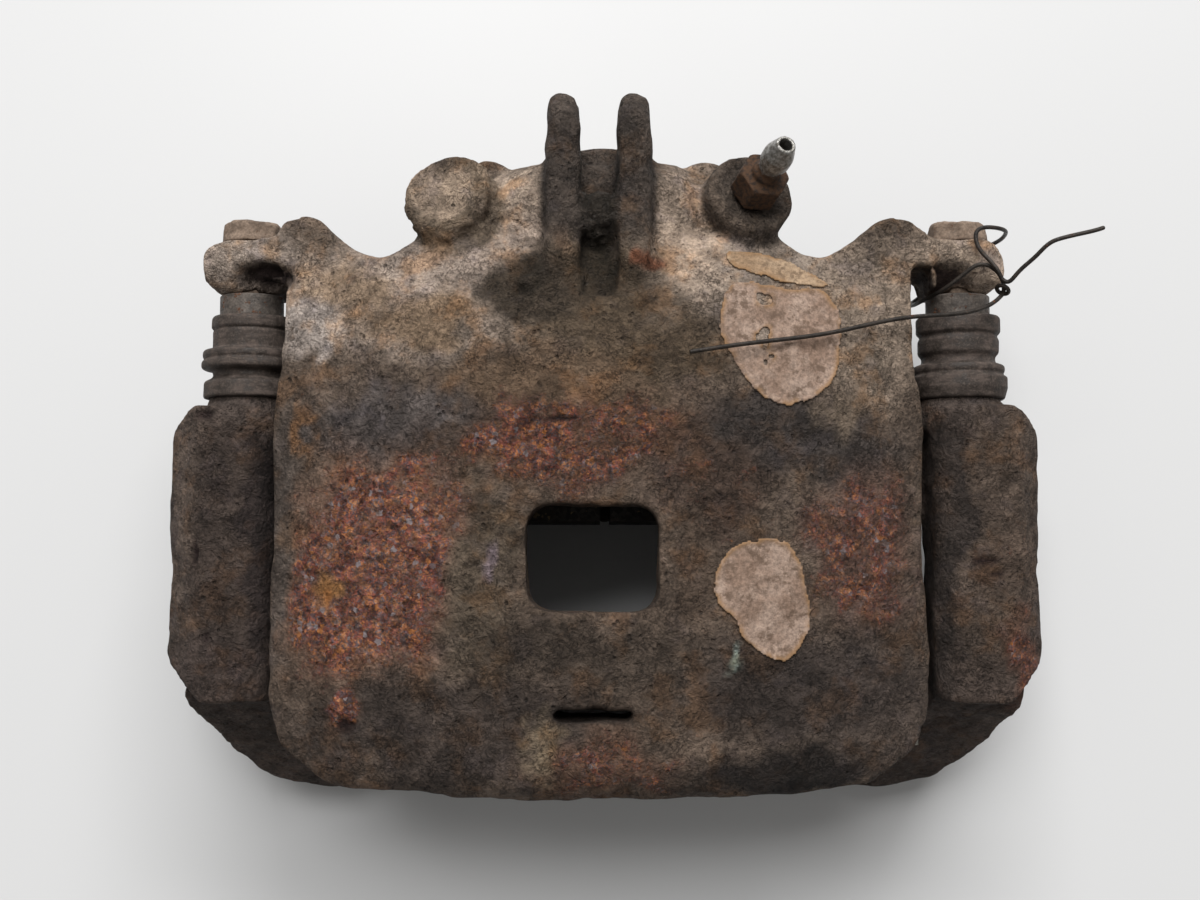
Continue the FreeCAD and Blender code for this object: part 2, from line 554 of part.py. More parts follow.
# ---- tie wire -----------------------------------------------------------------------------------------
WIRE_TAIL = [
    (18.7, 10.8, 69.8), (34.4, 13.5, 66.2), (50.9, 16.2, 62.0), (70.6, 20.7, 56.4),
    (91.3, 25.3, 50.2), (93.6, 27.4, 48.8),
]
WIRE_LOOP = [
    (93.6, 27.4, 48.8), (93.2, 30.2, 50.3), (91.0, 33.2, 50.4), (88.3, 34.1, 50.4),
    (84.6, 32.2, 49.0), (80.4, 29.0, 46.4), (77.0, 27.4, 41.0), (76.0, 27.4, 33.0),
    (77.2, 29.2, 25.2), (85.0, 35.0, 24.8), (92.4, 41.4, 25.8), (96.4, 43.0, 32.0),
    (96.8, 43.4, 40.0), (92.8, 43.4, 47.4), (87.6, 42.0, 49.0), (87.6, 39.4, 49.2),
    (89.4, 35.6, 51.0), (92.4, 30.6, 52.0),
]
WIRE_END = [
    (92.4, 30.6, 52.0), (93.9, 29.6, 52.4), (95.6, 31.2, 53.6), (99.4, 34.9, 56.2),
    (102.6, 37.8, 58.5), (104.4, 38.4, 59.1), (108.8, 39.3, 60.3), (113.2, 40.3, 61.5),
]
KNOT = Vec(93.3, 28.2, 49.8)


def tie_wire():
    """Steel tie wire wound once round the right-hand ear, with two straight tails."""
    strands = []
    for points in (WIRE_TAIL, WIRE_LOOP, WIRE_END):
        knots = [Vec(*p) for p in points]
        curve = Part.BSplineCurve()
        curve.interpolate(knots)
        path = Part.Wire(curve.toShape())
        start = curve.tangent(curve.FirstParameter)[0]
        ring = Part.Wire(Part.Circle(knots[0], start, WIRE_R).toShape())
        strands.append(path.makePipeShell([ring], True, True))
        strands.append(Part.makeSphere(WIRE_R, knots[-1]))
    strands.append(Part.makeTorus(1.4, WIRE_R, KNOT, Vec(0.6, 1, -0.5)))
    return fused(*strands)


# ---- the assembly ---------------------------------------------------------------------------------------
def assembly():
    inner_plate = INNER_BACK - SHIM_T
    outer_plate = OUTER_BACK + SHIM_T
    nodes = {
        **carrier_casting(),
        **caliper_casting(),
        "guide_pin_left": guide_pin(-1, False),
        "guide_pin_right": guide_pin(1, True),
        "pin_sleeve_right": pin_sleeve(),
        "piston": piston(),
        "piston_seal": piston_seal(),
        "piston_dust_boot": piston_dust_boot(),
        "dust_boot_ring": boot_ring(),
        "bleed_screw": bleed_screw(),
        "inner_pad_plate": pad_plate(inner_plate, -1),
        "inner_pad_lining": pad_lining(inner_plate - PLATE_T, -1),
        "inner_pad_shim": pad_shim(INNER_BACK, -1),
        "inner_pad_spring": pad_spring(),
        "pad_wear_indicator": wear_indicator(),
        "outer_pad_plate": pad_plate(outer_plate, 1),
        "outer_pad_lining": pad_lining(outer_plate + PLATE_T, 1),
        "outer_pad_shim": pad_shim(OUTER_BACK, 1),
        "tie_wire": tie_wire(),
    }
    for side, name in ((-1, "left"), (1, "right")):
        nodes["pin_bolt_" + name] = pin_bolt(side)
        nodes["pin_boot_" + name] = pin_boot(side)
    for end, span, outward in (("inner", (-25.0, -4.0), 1), ("outer", (NOTCH_END, -57.5), -1)):
        clip = pad_clip(*span, outward)
        nodes["pad_clip_" + end + "_right"] = clip
        nodes["pad_clip_" + end + "_left"] = mirrored(clip)
    return nodes


os.makedirs("parts", exist_ok=True)
for name, shape in assembly().items():
    if not shape.isValid():
        print("not valid:", name)
    shape.exportStep(os.path.join("parts", name + ".step"))
    print(name, len(shape.Solids), "solid", round(shape.Volume / 1000, 1), "cm3")
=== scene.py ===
import bmesh
import bpy
import numpy as np
from mathutils import Matrix, Vector
from mathutils.bvhtree import BVHTree


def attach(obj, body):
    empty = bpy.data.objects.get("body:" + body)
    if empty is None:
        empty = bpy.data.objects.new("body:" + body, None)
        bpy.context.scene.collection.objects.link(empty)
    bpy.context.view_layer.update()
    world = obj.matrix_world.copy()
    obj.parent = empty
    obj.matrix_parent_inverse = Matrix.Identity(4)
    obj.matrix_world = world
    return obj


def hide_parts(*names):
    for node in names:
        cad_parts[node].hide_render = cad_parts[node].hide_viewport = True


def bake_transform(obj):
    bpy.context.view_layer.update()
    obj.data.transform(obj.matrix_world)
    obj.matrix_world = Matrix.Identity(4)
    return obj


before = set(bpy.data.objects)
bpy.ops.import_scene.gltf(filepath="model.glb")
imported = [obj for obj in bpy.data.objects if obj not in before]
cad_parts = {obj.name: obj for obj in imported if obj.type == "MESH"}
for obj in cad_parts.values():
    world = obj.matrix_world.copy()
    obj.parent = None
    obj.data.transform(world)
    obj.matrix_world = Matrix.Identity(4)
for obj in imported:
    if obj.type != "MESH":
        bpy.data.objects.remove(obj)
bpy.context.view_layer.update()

MM = 0.001

# Places shared with the CAD model, in metres unless the name says mm.
BODY_X_MM = -1.5
BODY_X = BODY_X_MM * MM
PISTON_Z = 25.0 * MM
PISTON_GROOVE_RADIUS = 26.3 * MM
PIN_X = 85.65 * MM
PIN_Z = 37.0 * MM
KNUCKLE_X = 71.0 * MM
CARRIER_BOTTOM_Z = -13.0 * MM
HOUSING_NODES = ("caliper_cylinder", "caliper_bridge", "caliper_fingers",
                 "hose_fin_left", "hose_fin_right")
CARRIER_NODES = ("carrier_inner_frame", "carrier_outer_frame",
                 "carrier_column_left", "carrier_column_right")

# The bleed screw: where its hexagon sits on the boss, its direction and its length above the face.
BLEED_FACE = Vector((34.3, 50.0, 55.5)) * MM
BLEED_AXIS = Vector((0.27, 0.30, 0.915)).normalized()
BLEED_HEIGHT = 21 * MM

# Voxel sizes of the remeshed pieces.
CASTING_VOXEL = 1.08 * MM
SMALL_VOXEL = 0.42 * MM
BLEEDER_VOXEL = 0.3 * MM
PIN_BOOT_VOXEL = 0.31 * MM
PISTON_BOOT_VOXEL = 0.5 * MM

# How far the solids of one casting are swollen so that they overlap before the remesh.
SWELL = 0.06 * MM
# The distance over which a bulge or a hollow of a casting counts in full.
CURVATURE_REACH = 0.9 * MM


# ---- noise and distances on arrays of points -------------------------------------------------
def lattice(ix, iy, iz, seed):
    """A repeatable value from -1 to 1 for each whole-numbered lattice point."""
    h = (ix * 73856093) ^ (iy * 19349663) ^ (iz * 83492791) ^ (seed * 2654435761)
    h = (h ^ (h >> 13)) * 1274126177
    h = (h ^ (h >> 16)) & 0xFFFF
    return h / 32767.5 - 1.0


def smooth_noise(points, size, seed):
    """Smooth noise from -1 to 1 with features about size across."""
    scaled = points / size + 1000.0
    cell = np.floor(scaled).astype(np.int64)
    part = scaled - cell
    part = part * part * (3.0 - 2.0 * part)
    total = np.zeros(len(points))
    for dx in (0, 1):
        for dy in (0, 1):
            for dz in (0, 1):
                weight = np.ones(len(points))
                for axis, d in enumerate((dx, dy, dz)):
                    weight = weight * (part[:, axis] if d else 1.0 - part[:, axis])
                corner = (cell[:, 0] + dx, cell[:, 1] + dy, cell[:, 2] + dz)
                total += weight * lattice(*corner, seed)
    return total


def layered_noise(points, size, layers, seed):
    """Several layers of noise, each half the size and half as strong as the one before."""
    total = np.zeros(len(points))
    weight = 1.0
    for k in range(layers):
        total += weight * smooth_noise(points, size / 2 ** k, seed + 17 * k)
        weight *= 0.55
    return total


def ease(low, high, value):
    """0 at low, 1 at high and a smooth rise between them; low may be the larger number."""
    t = np.clip((value - low) / (high - low), 0.0, 1.0)
    return t * t * (3.0 - 2.0 * t)


def from_line(points, x, z):
    """Distance of each point from a line along Y through (x, z)."""
    return np.hypot(points[:, 0] - x, points[:, 2] - z)


# ---- mesh helpers ---------------------------------------------------------------------------
def add_object(name, data):
    """A new object in the scene with this mesh, light or camera."""
    obj = bpy.data.objects.new(name, data)
    bpy.context.scene.collection.objects.link(obj)
    return obj


def settle(obj):
    """Applies the modifiers of an object to its mesh."""
    graph = bpy.context.evaluated_depsgraph_get()
    mesh = bpy.data.meshes.new_from_object(obj.evaluated_get(graph))
    old = obj.data
    obj.modifiers.clear()
    obj.data = mesh
    bpy.data.meshes.remove(old)


def points_of(mesh):
    """The vertices as an array of rows x, y, z."""
    flat = np.empty(len(mesh.vertices) * 3)
    mesh.vertices.foreach_get("co", flat)
    return flat.reshape(-1, 3)


def normals_of(mesh):
    """The vertex normals as an array of rows x, y, z."""
    flat = np.empty(len(mesh.vertices) * 3)
    mesh.vertex_normals.foreach_get("vector", flat)
    return flat.reshape(-1, 3)


def set_points(mesh, points):
    """Moves the vertices to the rows of points."""
    mesh.vertices.foreach_set("co", points.ravel())
    mesh.update()


def edges_of(mesh):
    """The edges as an array of pairs of vertex numbers."""
    flat = np.empty(len(mesh.edges) * 2, dtype=np.int64)
    mesh.edges.foreach_get("vertices", flat)
    return flat.reshape(-1, 2)


def neighbour_mean(mesh, values, rounds=1):
    """Averages per-vertex values with those of their neighbours."""
    edges = edges_of(mesh)
    count = np.bincount(edges.ravel(), minlength=len(values)).astype(float)
    count = np.maximum(count, 1.0)
    for _ in range(rounds):
        total = np.zeros_like(values)
        np.add.at(total, edges[:, 0], values[edges[:, 1]])
        np.add.at(total, edges[:, 1], values[edges[:, 0]])
        values = total / (count if values.ndim == 1 else count[:, None])
    return values


def store(mesh, name, values):
    """Keeps per-vertex numbers or colours as a named attribute for the materials."""
    kind = "FLOAT" if values.ndim == 1 else "FLOAT_COLOR"
    layer = mesh.attributes.new(name, kind, "POINT")
    if kind == "FLOAT":
        layer.data.foreach_set("value", values.astype(np.float32))
    else:
        full = np.concatenate([values, np.ones((len(values), 1))], axis=1)
        layer.data.foreach_set("color", full.astype(np.float32).ravel())


def shade_smooth(obj):
    """Smooth shading on every face."""
    obj.data.polygons.foreach_set("use_smooth", [True] * len(obj.data.polygons))
    obj.data.update()


def add_blob(mesh_builder, centre, radii, seed):
    """Adds one lumpy pebble to a bmesh."""
    made = bmesh.ops.create_icosphere(mesh_builder, subdivisions=3, radius=1.0)
    place = Matrix.Translation(centre) @ Matrix.Diagonal((*radii, 1.0))
    verts = made["verts"]
    points = np.array([v.co[:] for v in verts])
    swell = 1.0 + 0.28 * layered_noise(points, 0.9, 2, seed)
    for v, s in zip(verts, swell):
        v.co = place @ (v.co * s)


def copy_of(node, name):
    """A new object with a copy of a CAD node's mesh."""
    return add_object(name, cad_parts[node].data.copy())


def one_casting(name, nodes, fillers=()):
    """One mesh from CAD nodes that meet face to face, each swollen so that a remesh merges them.

    The fillers are extra pebbles of metal, each a centre and radii in mm, that soften a hard
    inner corner."""
    builder = bmesh.new()
    for node in nodes:
        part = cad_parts[node].data.copy()
        welded = bmesh.new()
        welded.from_mesh(part)
        bmesh.ops.remove_doubles(welded, verts=welded.verts, dist=0.001 * MM)
        welded.normal_update()
        for vert in welded.verts:
            vert.co += vert.normal * SWELL
        welded.to_mesh(part)
        welded.free()
        builder.from_mesh(part)
        bpy.data.meshes.remove(part)
    for k, (centre, radii) in enumerate(fillers):
        add_blob(builder, Vector(centre) * MM, [r * MM for r in radii], k)
    mesh = bpy.data.meshes.new(name)
    builder.to_mesh(mesh)
    builder.free()
    return add_object(name, mesh)


def remeshed(obj, voxel, smoothing):
    """Voxel remesh, then rounds the edges over as a casting's are."""
    remesh = obj.modifiers.new("voxels", "REMESH")
    remesh.mode = "VOXEL"
    remesh.voxel_size = voxel
    if smoothing:
        rounding = obj.modifiers.new("rounding", "SMOOTH")
        rounding.factor = 0.5
        rounding.iterations = smoothing
    settle(obj)


def store_curvature(obj):
    """Attributes for worn edges and dirty hollows, from how each point stands out of its
    surroundings."""
    mesh = obj.data
    points = points_of(mesh)
    normals = normals_of(mesh)
    mean = neighbour_mean(mesh, points, rounds=6)
    bulge = np.einsum("ij,ij->i", points - mean, normals) / CURVATURE_REACH
    bulge = neighbour_mean(mesh, bulge, rounds=1)
    store(mesh, "edge", ease(0.08, 0.9, bulge))
    store(mesh, "hollow", ease(0.08, 0.9, -bulge))


def dress(obj, material):
    """Gives the object this one material."""
    obj.data.materials.clear()
    obj.data.materials.append(material)


def finish_piece(obj, body, slot, *nodes):
    """Sets the body and the replaced CAD nodes of one rigid piece; the slot is not used."""
    shade_smooth(obj)
    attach(obj, body)
    if nodes:
        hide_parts(*nodes)


# ---- material helpers --------------------------------------------------------------------------
class Paint:
    """Builds one procedural material in the object's own coordinates."""

    def __init__(self, name, specular):
        self.material = bpy.data.materials.new(name)
        self.material.use_nodes = True
        self.tree = self.material.node_tree
        self.tree.nodes.clear()
        self.shader = self.node("ShaderNodeBsdfPrincipled")
        self.shader.inputs["Specular IOR Level"].default_value = specular
        output = self.node("ShaderNodeOutputMaterial")
        self.link(self.shader.outputs["BSDF"], output.inputs["Surface"])
        self.place = self.node("ShaderNodeTexCoord").outputs["Object"]

    def node(self, kind):
        return self.tree.nodes.new(kind)

    def link(self, source, target):
        self.tree.links.new(source, target)

    def feed(self, socket, value):
        """Links a socket, or sets a constant."""
        if isinstance(value, bpy.types.NodeSocket):
            self.link(value, socket)
        else:
            socket.default_value = value

    def feed_colour(self, socket, value):
        """Links a socket, or sets a constant red, green and blue."""
        self.feed(socket, value if isinstance(value, bpy.types.NodeSocket) else (*value, 1.0))

    def noise(self, size, detail=3.0, rough=0.6, shift=0.0, stretch=(1, 1, 1), warp=0.0):
        """Noise from 0 to 1 with features about size across; another shift gives another pattern."""
        mapping = self.node("ShaderNodeMapping")
        mapping.inputs["Location"].default_value = (shift, shift * 0.7, shift * 1.3)
        mapping.inputs["Scale"].default_value = stretch
        self.link(self.place, mapping.inputs["Vector"])
        noise = self.node("ShaderNodeTexNoise")
        noise.inputs["Scale"].default_value = 1.0 / size
        noise.inputs["Detail"].default_value = detail
        noise.inputs["Roughness"].default_value = rough
        noise.inputs["Distortion"].default_value = warp
        self.link(mapping.outputs["Vector"], noise.inputs["Vector"])
        return noise.outputs["Fac"]

    def cells(self, size, rough_by, output="Color", shift=0.0):
        """Voronoi cells, their outlines roughened by noise."""
        place = self.place
        if shift:
            mapping = self.node("ShaderNodeMapping")
            mapping.inputs["Location"].default_value = (shift, shift * 0.6, -shift)
            self.link(place, mapping.inputs["Vector"])
            place = mapping.outputs["Vector"]
        jitter = self.node("ShaderNodeTexNoise")
        jitter.inputs["Scale"].default_value = 1.6 / size
        jitter.inputs["Detail"].default_value = 3.0
        self.link(place, jitter.inputs["Vector"])
        move = self.node("ShaderNodeVectorMath")
        move.operation = "MULTIPLY_ADD"
        self.link(jitter.outputs["Color"], move.inputs[0])
        move.inputs[1].default_value = (rough_by, rough_by, rough_by)
        self.link(place, move.inputs[2])
        cells = self.node("ShaderNodeTexVoronoi")
        cells.inputs["Scale"].default_value = 1.0 / size
        self.link(move.outputs["Vector"], cells.inputs["Vector"])
        return cells.outputs[output]

    def attribute(self, name, output="Fac"):
        """A value that the mesh carries under this name."""
        found = self.node("ShaderNodeAttribute")
        found.attribute_name = name
        return found.outputs[output]

    def math(self, kind, a, b=0.0, clamp=False):
        done = self.node("ShaderNodeMath")
        done.operation = kind
        done.use_clamp = clamp
        self.feed(done.inputs[0], a)
        self.feed(done.inputs[1], b)
        return done.outputs[0]

    def times(self, a, b):
        return self.math("MULTIPLY", a, b)

    def plus(self, a, b, clamp=False):
        return self.math("ADD", a, b, clamp)

    def minus(self, a, b, clamp=False):
        return self.math("SUBTRACT", a, b, clamp)

    def fit(self, value, low, high, to_low=0.0, to_high=1.0):
        """A smooth rise from to_low, where the value is low, to to_high, where it is high."""
        done = self.node("ShaderNodeMapRange")
        done.interpolation_type = "SMOOTHSTEP"
        self.feed(done.inputs["Value"], value)
        done.inputs["From Min"].default_value = low
        done.inputs["From Max"].default_value = high
        done.inputs["To Min"].default_value = to_low
        done.inputs["To Max"].default_value = to_high
        return done.outputs["Result"]

    def split(self, colour, channel):
        """One channel of a colour, by its number from 0 to 2."""
        done = self.node("ShaderNodeSeparateColor")
        self.link(colour, done.inputs["Color"])
        return done.outputs[channel]

    def ramp(self, value, stops, sharp=False):
        """Colours along a value, from stops of a place and a colour."""
        done = self.node("ShaderNodeValToRGB")
        ramp = done.color_ramp
        ramp.interpolation = "CONSTANT" if sharp else "LINEAR"
        for place, _ in stops[2:]:
            ramp.elements.new(place)
        for element, (place, colour) in zip(ramp.elements, stops):
            element.position = place
            element.color = (*colour, 1.0)
        self.feed(done.inputs["Fac"], value)
        return done.outputs["Color"]

    def mix(self, share, a, b, kind="MIX"):
        """Colour a where the share is 0 and b where it is 1."""
        done = self.node("ShaderNodeMix")
        done.data_type = "RGBA"
        done.blend_type = kind
        done.clamp_factor = True
        self.feed(done.inputs[0], share)
        self.feed_colour(done.inputs[6], a)
        self.feed_colour(done.inputs[7], b)
        return done.outputs[2]

    def tint(self, share, colour, factor):
        """The colour, multiplied by the factor where the share is 1."""
        return self.mix(share, colour, self.mix(1.0, colour, factor, "MULTIPLY"))

    def grey(self, value):
        """A colour with the value in all three channels."""
        done = self.node("ShaderNodeCombineColor")
        for k in range(3):
            self.link(value, done.inputs[k])
        return done.outputs["Color"]

    def bump(self, height, distance, before=None):
        """A normal from a height, which the distance scales, on top of the normal before."""
        done = self.node("ShaderNodeBump")
        done.inputs["Distance"].default_value = distance
        self.feed(done.inputs["Height"], height)
        if before is not None:
            self.link(before, done.inputs["Normal"])
        return done.outputs["Normal"]

    def done(self, colour, roughness, normal=None, metallic=None):
        """Connects the shader and gives back the material."""
        self.feed_colour(self.shader.inputs["Base Color"], colour)
        self.feed(self.shader.inputs["Roughness"], roughness)
        if normal is not None:
            self.link(normal, self.shader.inputs["Normal"])
        if metallic is not None:
            self.feed(self.shader.inputs["Metallic"], metallic)
        return self.material


# Each tone: its place on the ramp and its colour.
RUST_TONES = [
    (0.28, (0.026, 0.018, 0.016)), (0.35, (0.108, 0.028, 0.019)), (0.40, (0.058, 0.050, 0.058)),
    (0.45, (0.190, 0.050, 0.026)), (0.49, (0.074, 0.036, 0.038)), (0.53, (0.300, 0.110, 0.036)),
    (0.57, (0.120, 0.056, 0.054)), (0.61, (0.094, 0.086, 0.094)), (0.65, (0.310, 0.135, 0.058)),
    (0.72, (0.165, 0.060, 0.036)),
]


def casting_paint(name, brightness):
    """Rusty, dirty cast iron: painted zones, rust scale, pits, dust on edges and dirt in hollows."""
    p = Paint(name, specular=0.22)
    tone = p.attribute("tone", "Color")
    rust = p.attribute("rust")
    wide = p.fit(p.noise(12 * MM, 3, 0.6), 0.3, 0.7, 0.74, 1.26)
    middle = p.fit(p.noise(4.5 * MM, 4, 0.55, 0.3, warp=0.9), 0.30, 0.70, 0.74, 1.26)
    fine = p.fit(p.noise(0.7 * MM, 4, 0.65, 0.6), 0.32, 0.68, 0.76, 1.24)
    speck = p.fit(p.noise(1.5 * MM, 3, 0.6, 3.9), 0.60, 0.68)
    ridge = p.math("ABSOLUTE", p.minus(p.noise(2.1 * MM, 5, 0.7, 7.7, warp=0.8), 0.5))
    cracked = p.fit(p.noise(7 * MM, 3, 0.6, 8.1), 0.42, 0.58)
    crack = p.times(p.fit(ridge, 0.022, 0.004), cracked)
    shade = p.times(p.times(wide, middle), p.times(fine, brightness))
    ground = p.mix(1.0, tone, p.grey(shade), "MULTIPLY")
    warm = p.fit(p.noise(9 * MM, 4, 0.6, 0.9), 0.50, 0.68, 0.0, 0.62)
    ground = p.tint(warm, ground, (1.22, 0.92, 0.64))
    cool = p.fit(p.noise(7 * MM, 4, 0.6, 1.7), 0.52, 0.68, 0.0, 0.6)
    ground = p.tint(cool, ground, (0.90, 0.92, 1.04))
    ground = p.tint(p.times(speck, 0.55), ground, (0.34, 0.30, 0.27))

    flake = p.cells(1.05 * MM, 0.8 * MM)
    hue = p.plus(p.times(p.noise(2.9 * MM, 5, 0.68, 9.3), 0.76),
                 p.times(p.split(flake, 0), 0.24))
    depth = p.fit(p.noise(2.2 * MM, 4, 0.6, 5.3, warp=0.6), 0.36, 0.64, 0.62, 2.1)
    flakes = p.mix(1.0, p.ramp(hue, RUST_TONES), p.grey(p.times(fine, depth)), "MULTIPLY")
    spark = p.times(p.fit(p.split(flake, 1), 0.93, 0.96),
                    p.fit(p.noise(6 * MM, 3, 0.6, 11.2), 0.48, 0.6))
    flakes = p.mix(spark, flakes, (0.42, 0.155, 0.045))
    # Sparse pale flecks: painted glints.
    flakes = p.mix(p.fit(p.split(flake, 2), 0.975, 0.985), flakes, (0.27, 0.23, 0.24))
    patchy = p.plus(p.times(p.noise(5 * MM, 6, 0.78, 2.2), 1.9), rust)
    flaky = p.times(p.fit(patchy, 1.42, 1.95), p.fit(rust, 0.02, 0.30))
    colour = p.mix(p.times(flaky, 0.9), ground, flakes)

    from_pit = p.cells(2.1 * MM, 1.2 * MM, "Distance", shift=0.04)
    pit = p.times(p.fit(from_pit, 0.30, 0.10), p.fit(p.noise(7 * MM, 2, 0.5, 3.3), 0.44, 0.58))
    dark = p.math("MAXIMUM", p.times(pit, 0.55), p.times(crack, 0.7))
    colour = p.tint(dark, colour, (0.16, 0.13, 0.11))
    hollow = p.attribute("hollow")
    edge = p.attribute("edge")
    colour = p.tint(p.times(hollow, 0.75), colour, (0.30, 0.27, 0.24))
    dust = p.times(p.fit(p.noise(0.7 * MM, 5, 0.8, 4.1), 0.58, 0.68),
                   p.fit(p.noise(9 * MM, 2, 0.5, 4.4), 0.42, 0.65))
    lift = p.plus(p.times(edge, 0.30), p.times(dust, 0.40), clamp=True)
    colour = p.tint(lift, colour, (1.9, 1.75, 1.6))
    # Near-black where the scars are, and painted shadow in front of the ears.
    colour = p.mix(p.attribute("scar_and_shadow"), colour, (0.016, 0.008, 0.008))
    grease = p.attribute("grease")
    slime = p.mix(p.noise(1.5 * MM, 5, 0.75), (0.003, 0.0025, 0.002), (0.026, 0.021, 0.013))
    colour = p.mix(p.times(grease, 0.92), colour, slime)

    glint = p.times(flaky, p.fit(p.split(flake, 2), 0.72, 0.8))
    roughness = p.fit(p.noise(2 * MM, 3, 0.6, 5.0), 0.3, 0.7, 0.72, 0.94)
    roughness = p.minus(roughness, p.times(glint, 0.40))
    roughness = p.minus(roughness, p.times(grease, 0.25), clamp=True)
    scale_height = p.times(p.plus(p.split(flake, 0), hue), flaky)
    normal = p.bump(scale_height, 0.34 * MM)
    coarse = p.times(p.noise(3.0 * MM, 4, 0.6, 6.7, warp=0.5), 2.6)
    grain = p.plus(p.noise(0.9 * MM, 5, 0.72, 6.1), coarse)
    normal = p.bump(grain, 1.15 * MM, normal)
    normal = p.bump(p.minus(1.0, p.math("MAXIMUM", pit, crack)), 0.55 * MM, normal)
    return p.done(colour, roughness, normal)


def rusty_steel_paint(name, dark, light, rust_share, metallic, grain, dull):
    """Steel with a rust film: dark and light ground, rust blooms, fine grain.

    The grain is a size in metres, and dull is the roughness where there is no rust."""
    p = Paint(name, specular=0.35)
    ground = p.mix(p.fit(p.noise(4 * MM, 4, 0.7), 0.35, 0.65), dark, light)
    fine = p.fit(p.noise(grain, 4, 0.7, 0.5), 0.3, 0.7, 0.7, 1.3)
    ground = p.mix(1.0, ground, p.grey(fine), "MULTIPLY")
    spot = p.fit(p.noise(2.4 * MM, 5, 0.7, 1.1), 0.72 - rust_share * 0.5, 0.82 - rust_share * 0.5)
    bloom = p.ramp(p.noise(0.8 * MM, 4, 0.7, 1.9), [
        (0.30, (0.030, 0.014, 0.010)), (0.45, (0.095, 0.036, 0.018)), (0.58, (0.170, 0.066, 0.026)),
        (0.72, (0.080, 0.042, 0.030)),
    ])
    colour = p.mix(spot, ground, bloom)
    metal = p.times(p.minus(1.0, spot), metallic)
    clean = p.fit(p.noise(1.5 * MM, 3, 0.6, 2.3), 0.3, 0.7, dull - 0.1, dull + 0.1)
    roughness = p.plus(clean, p.times(spot, 0.3), clamp=True)
    normal = p.bump(p.noise(grain * 1.6, 4, 0.7, 2.8), 0.18 * MM)
    normal = p.bump(p.times(spot, p.noise(0.7 * MM, 4, 0.7, 3.1)), 0.3 * MM, normal)
    return p.done(colour, roughness, normal, metal)


def rubber_paint(name, dark, dusty):
    """Perished rubber with road dust in its folds."""
    p = Paint(name, specular=0.3)
    dust = p.fit(p.noise(3.2 * MM, 5, 0.7), 0.38, 0.62)
    streak = p.fit(p.noise(5 * MM, 3, 0.6, 0.8, (1, 5, 1)), 0.4, 0.65)
    colour = p.mix(p.times(dust, p.plus(streak, 0.35, clamp=True)), dark, dusty)
    speck = p.fit(p.noise(0.5 * MM, 3, 0.6, 1.5), 0.5, 0.7, 0.0, 0.35)
    colour = p.mix(speck, colour, (0.16, 0.125, 0.10))
    roughness = p.fit(dust, 0.0, 1.0, 0.58, 0.88)
    normal = p.bump(p.noise(0.9 * MM, 4, 0.65, 2.0), 0.16 * MM)
    return p.done(colour, roughness, normal)


